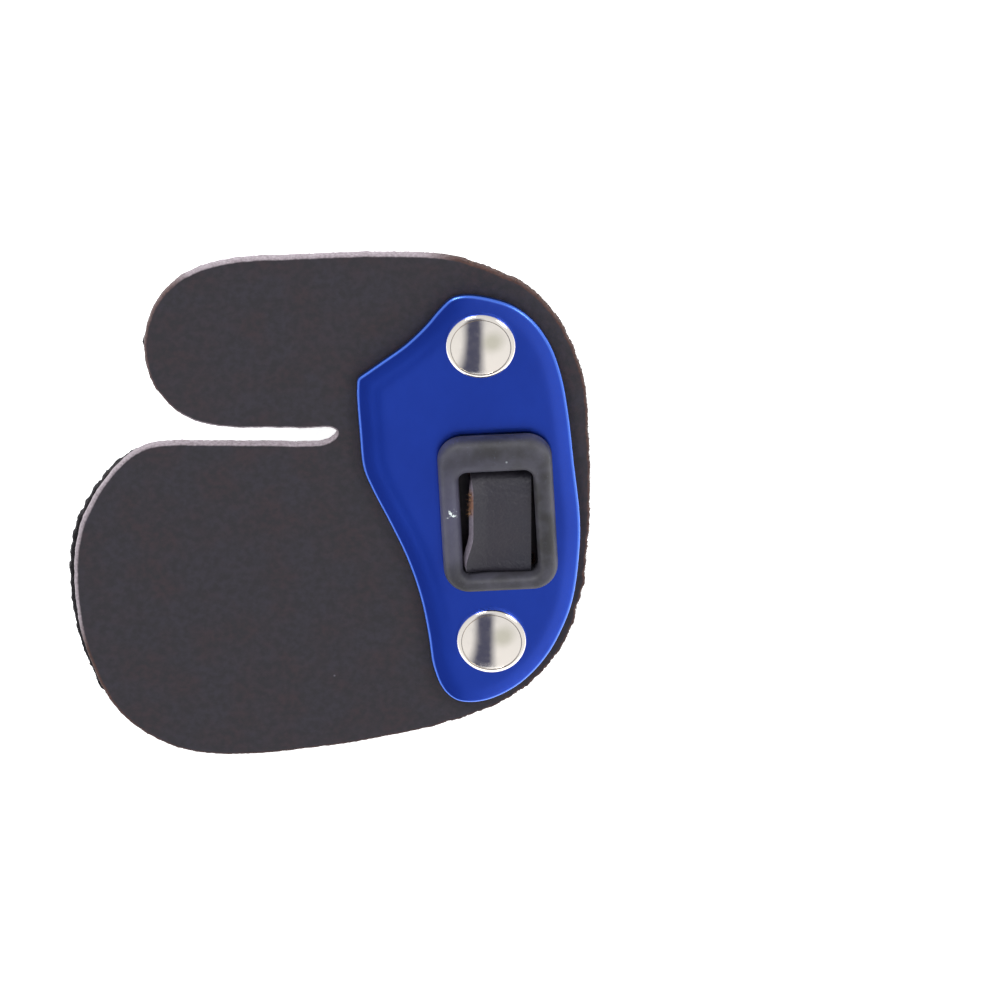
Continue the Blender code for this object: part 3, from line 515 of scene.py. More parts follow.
def nickel_plate():
    """Nickel-plated steel: warm bright mirror with fine handling scratches, and dark brown painted shade in
    the bore.
    """
    look, shader = new_look("nickel_plated_steel", Metallic=1.0)
    spot = add(look, "TexCoord")
    # handling marks, drawn 0.8 mm wide to show
    wear = add(look, "TexNoise", pattern(spot, 0.8, Detail=4.0))
    rough = add(look, "MapRange", (wear, 0.3, 0.8, 0.07, 0.2))
    # the bore share paints the hollow dark brown, as painted shade
    bore = add(look, "Attribute", attribute_name="bore")
    colour = add(look, "Mix", {SHARE: bore, UNDER: "#e6e0d8", OVER: "#4a3326"})
    bump = add(look, "Bump", {"Height": wear, "Distance": 0.01 * MM, "Strength": 0.3})
    plug(shader, {"Base Color": colour, "Roughness": rough, "Normal": bump})
    return look


def strap_leather():
    """Thin strap hide, dyed grey-violet: fine grain, small crinkles, and a soft satin gleam."""
    look, shader = new_look("strap_hide", Roughness=0.5)
    spot = add(look, "TexCoord")
    # dye cloudy over 6 mm, grain of 0.38 mm and crinkles of 0.9 mm
    clouds = add(look, "TexNoise", pattern(spot, 6.0, Detail=3.0))
    grain = add(look, "TexVoronoi", pattern(spot, 0.38), feature="SMOOTH_F1")
    colour = blend(look, (clouds, 0.38, 0.66), "#2a2932", "#2d2a32")
    crinkle = add(look, "TexNoise", pattern(spot, 0.9, Detail=4.0, Distortion=1.0))
    bump = add(look, "Bump", {"Height": grain, "Distance": 0.08 * MM, "Strength": 0.8})
    folds = add(look, "Bump", {"Height": crinkle, "Distance": 0.3 * MM, "Strength": 0.5, "Normal": bump})
    plug(shader, {"Base Color": colour, "Normal": folds})
    return look


def strap_edge():
    """The strap's cut edge: undyed middle of the hide, pale grey-violet with tan fuzz in places."""
    look, shader = new_look("strap_cut_edge", Roughness=0.85)
    spot = add(look, "TexCoord")
    # bundles of fibres 0.4 mm wide, and tan ones within 3 mm of the torn place
    fibre = add(look, "TexNoise", pattern(spot, 0.4, Detail=3.0))
    away = add(look, "VectorMath", (spot, tuple(to_world(TAN_SPOT))))
    torn = add(look, "Math", (fibre, 2.4 * MM, away), operation="MULTIPLY_ADD")
    pale = add(look, "Mix", {SHARE: fibre, UNDER: "#57525c", OVER: "#938a97"})
    colour = blend(look, (torn, 2.0 * MM, 3.4 * MM, 1.0, 0.0), pale, "#84604e")
    bump = add(look, "Bump", {"Height": fibre, "Distance": 0.1 * MM, "Strength": 0.6})
    plug(shader, {"Base Color": colour, "Normal": bump})
    return look


def loose_fibre():
    """Cut collagen fibres that stand out of the hides' edges: brown, red-brown and a little tan."""
    look, shader = new_look("cut_hide_fibre", Roughness=0.9)
    hue = add(look, "Attribute", attribute_name="hue")
    dark = add(look, "Mix", {SHARE: hue, UNDER: "#1b1617", OVER: "#4a332d"})
    colour = blend(look, (hue, 0.86, 0.98), dark, "#c79a6c")
    plug(shader, {"Base Color": colour})
    return look


# Leather, suede and plate

# Cut edges, from the front face's rim to the back face's. Rows: inset from the outline, level
FACE_EDGE = ((0.34, 0.0), (0.15, -0.03), (0.04, -0.13), (0.0, -0.32), (-0.03, -0.55), (-0.03, -0.85),
             (0.0, -1.1), (0.05, -1.27), (0.16, FACE_BACK))
SUEDE_EDGE = ((0.3, SUEDE_FRONT), (0.08, SUEDE_FRONT - 0.1), (0.0, SUEDE_FRONT - 0.4),
              (-0.04, SUEDE_FRONT - 0.8), (0.0, SUEDE_FRONT - 1.2), (0.1, SUEDE_FRONT - 1.48),
              (0.3, SUEDE_BACK))
# how far each of those rows draws in where the fingertip side is worn
FACE_WORN = (0.16, 0.12, 0.05, 0.0, 0.0, 0.0, 0.0, 0.0, 0.0)
SUEDE_WORN = (0.3,) * len(SUEDE_EDGE)
LONGEST_HOLE = 20.0            # no hole is as long as this, and every outer edge is longer
EDGE_SOFTNESS = 0.25           # length over which a cut outline's corners are softened
FACE_GRID, SUEDE_GRID, PLATE_GRID = 0.8, 0.9, 0.55     # spacing of the points inside their faces
FACE_ROUGH, SUEDE_ROUGH = (0.035, 0.09), (0.1, 0.14)   # roughness on clean stretches and at the palm


def drape(spots, level):
    """Gentle waves of the leather and suede together: the flaps lie a quarter of a millimetre uneven."""
    x, y = spots[:, 0], spots[:, 1]
    free = ease((4.0 - x) / 22.0)
    return free * (0.16 * np.sin(x / 7.5 + 0.6) * np.cos(y / 9.0) + 0.10 * np.sin(y / 5.2 + x / 11.0))


def cut_roughness(small, large, worn):
    """Roughness of a cut edge in mm: small on clean stretches and in holes, large towards the palm.

    A fine ripple, new in each row of the wall, and a broad one that all rows share are added up. The lower
    flap's edge towards the fingertips is worn: each row draws in there by its own amount.
    """
    draw = np.random.default_rng(SEED)

    def push(loop, rows):
        x, y = loop.T
        palm = ease((x - 12.0) / 12.0) * (np.ptp(x) > LONGEST_HOLE)
        size = small + (large - small) * palm
        fine = ripple(len(loop), 2.5, 9.0, draw, rows)
        broad = ripple(len(loop), 8.0, 40.0, draw)
        rough = size * (0.55 * fine + 0.6 * broad)
        rough[[0, -1]] *= 0.6
        tips = ease((-outward(loop)[:, 0] - 0.35) / 0.5) * ease((4.0 - y) / 4.0) * (x < -4.0)
        return rough - np.array(worn)[:, None] * tips

    return push


def make_face():
    """Smooth leather face: rounded, slightly bulging cut edges, pale, and dark and frayed at the palm."""
    loops = [even_loop(loop, CUT_STEP, EDGE_SOFTNESS) for loop in cad_loops("face_leather", 0.0)]
    made, points = sheet("leather_face", loops, FACE_EDGE, FACE_GRID, drape,
                         cut_roughness(*FACE_ROUGH, FACE_WORN), [smooth_leather()], "face_leather")
    x, y = points[:, 0], points[:, 1]
    index_tip = 0.85 * ease((-17.5 - x) / 3.0) * (y > 10.5)
    mark(made, "palm_side", np.maximum.reduce((ease((x - 11.0) / 6.0), ease((-16.0 - y) / 5.0), index_tip)))
    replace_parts(made, "face_leather")
    return loops[0]


def make_suedes():
    """Two suede pieces behind the leather, with soft frayed edges."""
    look = black_suede()
    outlines = []
    for node, name in (("backing_upper", "suede_upper"), ("backing_lower", "suede_lower")):
        loops = [even_loop(loop, CUT_STEP, EDGE_SOFTNESS) for loop in cad_loops(node, SUEDE_FRONT)]
        made, points = sheet(name, loops, SUEDE_EDGE, SUEDE_GRID, drape,
                             cut_roughness(*SUEDE_ROUGH, SUEDE_WORN), [look], "suede")
        least = 0.15 if node == "backing_upper" else 0.0
        mark(made, "palm_side", np.maximum(ease((points[:, 0] - 5.0) / 6.0), least))
        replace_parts(made, node)
        outlines.append(loops[0])
    return outlines


def make_plate():
    """Anodised plate: a bright rounded rim, then a border that slopes up to a flat middle.

    The front falls by a smooth step over the border's width, and dips in a Gaussian crease at its inner
    side, which is deeper towards the fingertips.
    """
    flat = [even_loop(loop, 0.2, 0.12) for loop in cad_loops("plate", PLATE_FRONT)]
    loops = [loop + outward(loop) * PLATE_EDGE_ROUND for loop in flat]
    turns = np.radians(np.linspace(0.0, 90.0, 6))
    inset, down = PLATE_EDGE_ROUND * (1 - np.sin(turns)), PLATE_EDGE_ROUND * (1 - np.cos(turns))
    profile = np.concatenate((np.column_stack((inset, PLATE_FRONT - down)),
                              np.column_stack((inset, PLATE_BACK + down))[::-1]))

    def slope(spots, level):
        inwards = nearest(spots, loops[:1])
        tips = 0.12 + 0.88 * ease((18.0 - spots[:, 0]) / 6.0)
        crease = PLATE_CREASE * tips * np.exp(-((inwards - PLATE_BORDER) / 0.6) ** 2)
        fall = PLATE_DROP * (1.0 - ease(inwards / PLATE_BORDER)) + crease
        return np.where(level > (PLATE_BACK + PLATE_FRONT) / 2, -fall, 0.0)

    made, _ = sheet("anodised_plate", loops, profile, PLATE_GRID, slope,
                    lambda loop, rows: np.zeros((rows, len(loop))), [anodised_plate()], "plate_metal")
    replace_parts(made, "plate")


# Rubber

def rounded_outline(low, high, radius, corner_steps=14, side_steps=18):
    """Rectangle with round corners, counterclockwise, with the same number of points on every one."""
    low, high = np.array(low), np.array(high)
    turns = np.radians(np.linspace(0.0, 90.0, corner_steps))
    corners = []
    for quarter, sign in enumerate(((1, 1), (-1, 1), (-1, -1), (1, -1))):
        sign = np.array(sign)
        middle = np.where(sign > 0, high, low) - sign * radius
        angle = turns + quarter * np.pi / 2
        corners.append(middle + radius * np.stack((np.cos(angle), np.sin(angle)), axis=1))
    shares = np.linspace(0.0, 1.0, side_steps + 2)[1:-1, None]
    rounds = []
    for here in range(4):
        start, end = corners[here][-1], corners[(here + 1) % 4][0]
        rounds += [corners[here], start + (end - start) * shares]
    return np.concatenate(rounds)


def frame_turned(spots):
    """Points of the frame's own rectangle, turned and moved to where the frame sits."""
    cos, sin = np.cos(FRAME_TURN), np.sin(FRAME_TURN)
    return spots @ np.array(((cos, sin), (-sin, cos))) + np.array(FRAME_CENTRE)


def knot_spans(rows):
    """Centripetal spans between a curve's knots: the roots of the distances between their places."""
    return np.sqrt(np.maximum(gaps_between(rows[:, :3]), 0.01))


def through(rows, samples):
    """Smooth curve through rows of values, whose first three are a place: centripetal Catmull-Rom.

    Each knot's tangent is the mean of the slopes beside it, weighted by the other side's span, and
    every span is the cubic that meets its two knots and tangents.
    """
    rows = np.asarray(rows, float)
    gaps = knot_spans(rows)
    knots = summed(gaps)
    slopes = np.diff(rows, axis=0) / gaps[:, None]
    inner = (slopes[:-1] * gaps[1:, None] + slopes[1:] * gaps[:-1, None]) / (gaps[:-1] + gaps[1:])[:, None]
    tangents = np.vstack((slopes[:1], inner, slopes[-1:]))
    at = np.asarray(samples) * knots[-1]
    span = np.clip(np.searchsorted(knots, at, side="right") - 1, 0, len(gaps) - 1)
    u = ((at - knots[span]) / gaps[span])[:, None]
    width = gaps[span][:, None]
    return ((2 * u**3 - 3 * u**2 + 1) * rows[span] + (u**3 - 2 * u**2 + u) * width * tangents[span]
            + (3 * u**2 - 2 * u**3) * rows[span + 1] + (u**3 - u**2) * width * tangents[span + 1])


def unit(vectors):
    """The vectors at length 1."""
    return vectors / np.linalg.norm(vectors, axis=-1, keepdims=True)


# The arm, from inside the frame out to its tip. Columns: way along the arm as a share of its length,
# depth of its middle as a share of its stand, thickness and width as shares of the greatest ones
ARM_SECTIONS = (
    (0.0, 0.2, 1.0, 0.8), (0.0, 0.42, 1.0, 1.0), (-0.02, 0.6, 1.0, 1.0),
    (-0.005, 0.745, 1.0, 1.0), (0.065, 0.843, 0.98, 1.0), (0.2, 0.833, 0.93, 1.0),
    (0.38, 0.829, 0.86, 1.0), (0.56, 0.826, 0.78, 1.0), (0.72, 0.803, 0.69, 0.98),
    (0.86, 0.75, 0.6, 0.9), (0.95, 0.68, 0.5, 0.78), (0.985, 0.64, 0.34, 0.6),
)


def make_spacer():
    """Rubber spacer: a rounded frame round the window with its lip, the root, and the bent arm behind."""
    half = np.array((FRAME_REACH / 2, FRAME_SPAN / 2))
    inner_low = (-half[0] + FRAME_SIDE_BAR, -half[1] + FRAME_LOW_BAR)
    inner_high = (half[0] - FRAME_SIDE_BAR, half[1] - FRAME_TOP_BAR)
    outer = rounded_outline(-half, half, FRAME_CORNER)
    inner = rounded_outline(inner_low, inner_high, FRAME_INNER_CORNER)
    lip = rounded_outline(np.array(inner_low) - FRAME_SKIRT, np.array(inner_high) + FRAME_SKIRT,
                          FRAME_INNER_CORNER + FRAME_SKIRT)
    # over the bar from its outer foot to its inner one: half a circle, squared by powers of cosine and sine
    turns = np.linspace(0.0, np.pi, 25)
    across = (1.0 - np.sign(np.cos(turns)) * np.abs(np.cos(turns)) ** 0.75) / 2.0
    levels = FRAME_BACK + FRAME_HEIGHT * np.abs(np.sin(turns)) ** 0.6
    loops = [(outer + (inner - outer) * share, level) for share, level in zip(across, levels)]
    # then down inside the window, under the plate, and back out between plate and frame
    loops += [(inner, PLATE_BACK + 0.5), (inner + (lip - inner) * 0.25, PLATE_BACK), (lip, PLATE_BACK),
              (lip, PLATE_FRONT), (lip + (outer - lip) * 0.1, FRAME_BACK)]
    rings = [np.column_stack((loop, np.full(len(loop), level))) for loop, level in loops]
    body = np.concatenate(rings)
    body[:, :2] = frame_turned(body[:, :2])
    # one more row of faces, counted round to the first ring, closes the section
    frame_piece = piece("rubber_frame", body, grid_faces(len(rings) + 1, len(outer)) % len(body))
    arm = arm_piece()
    join = frame_piece.modifiers.new("root", "BOOLEAN")
    join.object, join.operation, join.solver = arm, "UNION", "EXACT"
    look = moulded_rubber()
    for made in (frame_piece, arm):
        made.data.materials.append(look)
    bpy.context.view_layer.update()
    seen = frame_piece.evaluated_get(bpy.context.evaluated_depsgraph_get())
    mesh = bpy.data.meshes.new_from_object(seen)
    mesh.name = "rubber_spacer"
    mesh.materials.clear()
    mesh.materials.append(look)
    mesh.shade_smooth()
    mesh.set_sharp_from_angle(angle=np.radians(45.0))
    made = bpy.data.objects.new("rubber_spacer", mesh)
    bpy.context.scene.collection.objects.link(made)
    for old in (frame_piece, arm):
        bpy.data.objects.remove(old)
    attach(made, "root")
    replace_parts(made, "finger_spacer")


def arm_piece():
    """Root and arm: rings of a rounded section carried along a smooth path, closed at both ends."""
    top = frame_turned(np.array(((0.0, FRAME_SPAN / 2 - FRAME_TOP_BAR / 2),)))[0]
    start = np.array((top[0] - ROOT_SHIFT, top[1]))
    along = np.array((-np.cos(ARM_HEADING), -np.sin(ARM_HEADING), 0.0))
    across = np.array((along[1], -along[0], 0.0))
    rows = [(start[0], start[1], level, ROOT_REACH / 2, ROOT_WIDTH / 2)
            for level in (FRAME_BACK + FRAME_HEIGHT / 2, PLATE_FRONT, 0.0, FACE_BACK, SUEDE_BACK - SEAT_GAP)]
    for way, depth, thick, width in ARM_SECTIONS:
        spot = np.array((*start, SUEDE_BACK - ARM_STAND * depth)) + along * ARM_LENGTH * way
        rows.append((*spot, ARM_THICK * thick / 2, ARM_WIDTH * width / 2))
    path = through(rows, np.linspace(0.0, 1.0, 150))
    middles, halves = path[:, :3], path[:, 3:]
    way = unit(np.gradient(middles, axis=0))
    side = unit(np.cross(way, across))
    turns = np.linspace(0.0, 2 * np.pi, 56, endpoint=False)
    bulge = 2.0 / ARM_SQUARE
    ring = np.stack((np.sign(np.cos(turns)) * np.abs(np.cos(turns)) ** bulge,
                     np.sign(np.sin(turns)) * np.abs(np.sin(turns)) ** bulge), axis=1)
    # a rounded tip: the last rings shrink and move on, as on a quarter of a circle
    ends = np.radians(np.linspace(15.0, 90.0, 7))
    middles = np.vstack((middles, middles[-1] + way[-1] * (ARM_TIP_ROUND * np.sin(ends))[:, None]))
    halves = np.vstack((halves, halves[-1] - ARM_TIP_ROUND * (1.0 - np.cos(ends))[:, None]))
    side = np.vstack((side, np.repeat(side[-1:], len(ends), axis=0)))
    points = (middles[:, None, :] + side[:, None, :] * (halves[:, :1] * ring[:, 0])[:, :, None]
              + across * (halves[:, 1:] * ring[:, 1])[:, :, None])
    caps = points[[0, -1]].mean(axis=1)
    return piece("arm", np.vstack((points.reshape(-1, 3), caps)), *tube_faces(*points.shape[:2]))


# Rivets

CRIMP_IN, CRIMP_DOWN = 0.12, 0.28      # how far a crimp presses the metal: a share of the radius, and mm


def turned(name, rows, spot, look, crimps, steps=96):
    """A turned solid: the profile's rows of radius, height, and bore and crimp share if any, carried round.

    Crimps press the metal down and in at that many places, as the cosine of the turn.
    """
    rows = np.array([(*row, 0.0, 0.0)[:4] for row in rows])
    turns = np.linspace(0.0, 2 * np.pi, steps, endpoint=False)
    star = rows[:, 3:] * (0.5 + 0.5 * np.cos(crimps * turns))
    radius = rows[:, :1] * (1.0 - CRIMP_IN * star)
    points = np.stack((spot[0] + radius * np.cos(turns), spot[1] + radius * np.sin(turns),
                       rows[:, 1:2] + CRIMP_DOWN * star), axis=-1)
    ends = [(*spot, rows[0, 1]), (*spot, rows[-1, 1])]
    quads, fans = tube_faces(len(rows), steps)
    # the profile runs down from the front, so that its faces point outwards once they are reversed
    made = piece(name, np.vstack((points.reshape(-1, 3), ends)), quads[:, ::-1], fans[:, [0, 2, 1]],
                 [look], "rivet_metal", 50.0)
    mark(made, "bore", np.concatenate((np.repeat(rows[:, 2], steps), (rows[0, 2], rows[-1, 2]))))
    return made


def arc(centre, radius, start, end, count):
    """Rows of radius and height along an arc of a profile, angles in degrees from the outward direction."""
    turns = np.radians(np.linspace(start, end, count))
    return [(centre[0] + radius * np.cos(t), centre[1] + radius * np.sin(t)) for t in turns]


# The cap's groove and rim, outwards and down to its foot. Rows: way beyond the dome, height over the foot
CAP_RIM = ((0.03, 0.62), (0.1, 0.62), (0.12, 0.82), (0.22, 0.785), (0.33, 0.735), (0.44, 0.675), (0.54, 0.61),
           (0.62, 0.54), (0.68, 0.42), (0.7, 0.25), (0.68, 0.0))
CAP_RIM_WIDTH, CAP_SIDE, CAP_DOME, CAP_SEAT = 0.7, 0.75, 0.72, 0.02


def cap_rows():
    """Front cap: a dome that falls with the square of its radius, a fine groove, and a sloping rim."""
    foot = PLATE_FRONT + CAP_SEAT
    inner = CAP_DIAMETER / 2 - CAP_RIM_WIDTH
    rows = [(inner * share, foot + CAP_SIDE + CAP_DOME * (1.0 - share * share))
            for share in np.linspace(0.04, 1.0, 22)]
    return rows + [(inner + out, foot + height) for out, height in CAP_RIM] + [(SHANK_DIAMETER / 2, foot)]


def head_rows():
    """Low head of the strap's rivet."""
    radius = FLAT_HEAD_DIAMETER / 2
    top = SEAT_GAP + FLAT_HEAD_HEIGHT
    return [(0.2, top), (radius * 0.6, top - 0.05), (radius * 0.92, top - 0.25), (radius, top - 0.5),
            (radius, SEAT_GAP + 0.1), (radius - 0.1, SEAT_GAP), (SHANK_DIAMETER / 2, SEAT_GAP)]


def ring_rows(diameter, crimp):
    """Rear ring: rolled outside, hollow towards a raised collar, and a bore painted with dark brown shade.
    Its crimp is 0 or 1.
    """
    back = SUEDE_BACK - SEAT_GAP
    radius = diameter / 2
    bore = RING_BORE / 2
    rows = [(SHANK_DIAMETER / 2, back), (radius - 0.3, back)]
    rows += arc((radius - 0.3, back - 0.3), 0.3, 90.0, -80.0, 9)
    rows += [(radius - 0.55, back - 0.62, 0.0, 0.1 * crimp), (radius - 0.9, back - 0.66, 0.0, 0.7 * crimp),
             (radius * 0.62, back - 0.74, 0.0, crimp), (bore + 0.75, back - 0.86, 0.0, 0.6 * crimp)]
    rows += arc((bore + 0.38, back - RING_HEIGHT + 0.36), 0.36, -70.0, -170.0, 8)
    floor = back - RING_HEIGHT + RING_BORE_DEPTH
    return rows + [(bore, back - 0.3, 0.7, 0.0), (bore * 0.94, floor - 0.1, 1.0, 0.0),
                   (bore * 0.5, floor, 1.0, 0.0), (0.1, floor - 0.15, 0.8, 0.0)]


def make_rivets():
    """Two capped rivets with plain rolled rings, and the strap's rivet with a large star-set ring."""
    look = nickel_plate()
    for node, name, head, ring, spot, crimps in (
        ("rivet_upper", "nickel_rivet_upper", cap_rows(), ring_rows(SMALL_RING, 0.0), UPPER_RIVET, 0),
        ("rivet_lower", "nickel_rivet_lower", cap_rows(), ring_rows(SMALL_RING, 0.0), LOWER_RIVET, 0),
        ("strap_rivet", "nickel_strap_rivet", head_rows(), ring_rows(LARGE_RING, 1.0), STRAP_RIVET, 8),
    ):
        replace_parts(turned(name, head + ring, spot, look, crimps), node)


# Strap

# The finger loop, from the upper slit round to the crossing. Columns: lean towards the fingertips as a
# share of the loop's reach, height as a share of the distance between the slits, measured from the
# lower slit, depth from the suede as a share of the strap's width, and the width's slope and turn
LOOP_SECTIONS = (
    (0.02, 1.0, 0.2, 12.0, 0.0), (0.18, 0.96, 0.42, 38.0, -8.0),
    (0.45, 0.84, 0.56, 60.0, -22.0), (0.76, 0.6, 0.6, 66.0, -14.0),
    (0.96, 0.3, 0.58, 60.0, 0.0), (1.04, 0.0, 0.48, 40.0, 14.0),
)
AWAY = 99.0                    # keeper mark of the strap where it is no keeper


def leg_spot(way):
    """Place and heading on the strap's flat stretch, a distance beyond the lower slit."""
    heading = TAIL_HEADING + way / TAIL_CURVE
    x = STRAP_X - TAIL_CURVE * (np.cos(TAIL_HEADING) - np.cos(heading))
    y = STRAP_SLIT_LOWER - TAIL_CURVE * (np.sin(heading) - np.sin(TAIL_HEADING))
    return np.array((x, y, 0.0)), np.array((-np.sin(heading), -np.cos(heading), 0.0))


def strap_rows():
    """Sections of the strap from its keeper end to its tail.

    Columns: three for the middle, three for the width's direction, the keeper mark, which is the way from the
    middle of the keeper's slit, and the front mark, which is 1 on the run over the window.
    """
    suede = SUEDE_BACK - SEAT_GAP
    resting = suede - STRAP_THICK / 2
    riding = resting - STRAP_THICK - SEAT_GAP
    crossing, tail_way = leg_spot(LEG_LENGTH)
    keeper_way = np.array((-tail_way[1], tail_way[0], 0.0))     # towards the keeper's cut end
    reach = KEEPER_SLIT_LENGTH / 2
    rows = []
    for way in (reach + KEEPER_END, reach, reach / 2, 0.0, -reach / 2, -reach):
        spot = crossing + keeper_way * way
        rows.append((spot[0], spot[1], (resting + riding) / 2, *-tail_way, way, 0.0))
    spacing = STRAP_SLIT_UPPER - STRAP_SLIT_LOWER
    for lean, height, depth, slope, turn in reversed(LOOP_SECTIONS):
        tip, spin = np.radians(slope), np.radians(turn)
        rows.append((STRAP_X - lean * LOOP_REACH, STRAP_SLIT_LOWER + height * spacing,
                     suede - depth * STRAP_WIDTH, np.cos(tip) * np.cos(spin), np.cos(tip) * np.sin(spin),
                     -np.sin(tip), AWAY, 0.0))
    run = FLAT_HEAD_HEIGHT + 2 * SEAT_GAP + STRAP_THICK / 2
    bend = STRAP_THICK * 1.1
    # up through the upper slit, over the rivet's head and the window, and down through the lower slit
    for y, z, front in (
        (STRAP_SLIT_UPPER, FACE_BACK, 0.0), (STRAP_SLIT_UPPER, 0.0, 0.0),
        (STRAP_SLIT_UPPER - bend * 0.3, run - bend * 0.4, 0.3), (STRAP_SLIT_UPPER - bend * 1.4, run, 1.0),
        (STRAP_SLIT_LOWER + bend * 0.9, run + 0.1, 1.0), (STRAP_SLIT_LOWER - 0.1, run, 0.8),
        (STRAP_SLIT_LOWER - 0.45, run - 0.6, 0.3), (STRAP_SLIT_LOWER - 0.1, 0.3, 0.0),
        (STRAP_SLIT_LOWER, FACE_BACK, 0.0), (STRAP_SLIT_LOWER, suede, 0.0),
    ):
        rows.append((STRAP_X, y, z, 1.0, 0.0, 0.0, AWAY, front))
    total = LEG_LENGTH + TAIL_LENGTH
    half = STRAP_WIDTH / 2
    for way, hump in (
        (0.8 * bend, 1.2), (2.0 * bend, 1.4), (3.4 * bend, 0.9), (5.0 * bend, 0.3),
        (LEG_LENGTH - half, 0.0), (LEG_LENGTH - KEEPER_SLIT_WIDTH / 2, 0.0), (LEG_LENGTH, 0.0),
        (LEG_LENGTH + KEEPER_SLIT_WIDTH / 2, 0.0), (LEG_LENGTH + half, 0.0),
        (LEG_LENGTH + half * 2, 0.0), (total * 0.62, 0.0), (total * 0.8, 0.0), (total, 0.0),
    ):
        spot, heading = leg_spot(way)
        climb = ease((way - LEG_LENGTH) / KEEPER_SLIT_WIDTH + 0.5)
        settle = ease((way - LEG_LENGTH - half) / (half * 2.5))
        level = resting + (riding - resting) * climb * (1.0 - settle) - hump * STRAP_THICK
        rows.append((spot[0], spot[1], level, -heading[1], heading[0], 0.0, AWAY, 0.0))
    return np.array(rows)


def make_strap():
    """Leather strap: a grid along its route and across its width, with the keeper's slit left open.

    Solidify gives the wall and Bevel rounds the cut edges. The two sides of the keeper's slit part by half
    the strap's thickness each way. The run over the window curls up at its fingertip side by a power of the
    way across, flares there at the bottom by a smooth step, and has small sine creases at the top. The tail
    is cut off aslant.
    """
    rows = strap_rows()
    count = STRAP_COUNT
    # the rows keep the same step along the strap, and the marks are read straight between the sections
    samples = np.linspace(0.0, 1.0, STRAP_SAMPLES)
    way = summed(gaps_between(through(rows, samples)[:, :3]))
    even = np.interp(np.linspace(0.0, way[-1], count), way, samples)
    path = through(rows, even)
    knots = summed(knot_spans(rows))
    keeper, front = (np.interp(even, knots / knots[-1], rows[:, k]) for k in (6, 7))
    keeper = np.where(keeper <= KEEPER_SLIT_LENGTH / 2 + KEEPER_END, keeper, AWAY)
    front = front[:, None]
    middles, widths = path[:, :3], unit(path[:, 3:6])
    edge = KEEPER_SLIT_WIDTH / STRAP_WIDTH
    outer = np.linspace(-1.0, -edge, 6)
    lanes = np.concatenate((outer, np.linspace(-edge, edge, 5)[1:-1], -outer[::-1]))
    points = middles[:, None, :] + widths[:, None, :] * (lanes * STRAP_WIDTH / 2)[:, None]
    lift = (STRAP_THICK + SEAT_GAP) / 2
    open_share = 1.0 - ease((np.abs(keeper) / KEEPER_SLIT_LENGTH - 0.42) / 0.25)
    points[:, :, 2] -= lift * open_share[:, None] * np.clip(lanes / edge, -1.0, 1.0)
    run_y = points[:, :, 1]
    left = ease((-lanes - 0.35) / 0.65)
    curl = np.clip((-lanes - 0.4) / 0.6, 0.0, 1.0) ** 1.6
    points[:, :, 2] += front * curl * RUN_CURL
    low = ease((-2.5 - run_y) / 5.0)
    points[:, :, 0] -= front * left * (RUN_FLARE * low - 0.1)
    high = np.exp(-((run_y - 2.6) / 1.3) ** 2)
    creases = np.sin(run_y * 5.2 + lanes * 1.4) * (0.6 + 0.4 * np.sin(lanes * 4.0))
    points[:, :, 2] += front * high * RUN_CREASE * creases
    heading = unit(np.gradient(middles, axis=0))
    left_over = np.linalg.norm(middles[-1] - middles, axis=1)
    tail = (np.arange(count) > count // 2) & (left_over < TAIL_CUT)
    slant = np.where(tail, TAIL_CUT - left_over, 0.0)[:, None] * (lanes + 1.0) / 2 * 0.9
    points -= heading[:, None, :] * slant[:, :, None]
    in_slit = np.abs((keeper[:-1] + keeper[1:]) / 2) < KEEPER_SLIT_LENGTH / 2
    in_middle = np.abs((lanes[:-1] + lanes[1:]) / 2) < edge
    quads = grid_faces(count, len(lanes), round_columns=False)[~np.outer(in_slit, in_middle).reshape(-1)]
    made = piece("leather_strap", points.reshape(-1, 3), quads, None, [strap_leather(), strap_edge()],
                 "strap_leather", 50.0)
    for name, kind, settings in (
        ("wall", "SOLIDIFY", {"thickness": STRAP_THICK * MM, "offset": 0.0, "use_even_offset": True,
                              "material_offset_rim": 1}),
        ("rounding", "BEVEL", {"width": 0.16 * MM, "segments": 2, "limit_method": "ANGLE",
                               "angle_limit": np.radians(60.0)}),
    ):
        modifier = made.modifiers.new(name, kind)
        for setting, value in settings.items():
            setattr(modifier, setting, value)
    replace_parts(made, "strap")


# Loose fibres

HAIR_SIDES, HAIR_ROWS = 3, 4
EDGE_HAIRS, TORN_HAIRS = 1700, 200
HAIR_LENGTH, HAIR_PALM_MORE, HAIR_ROOT = 0.2, 0.26, 0.12
AIM_SPREAD, RISE_SPREAD, CURL_SPREAD = 0.7, 0.35, 0.5


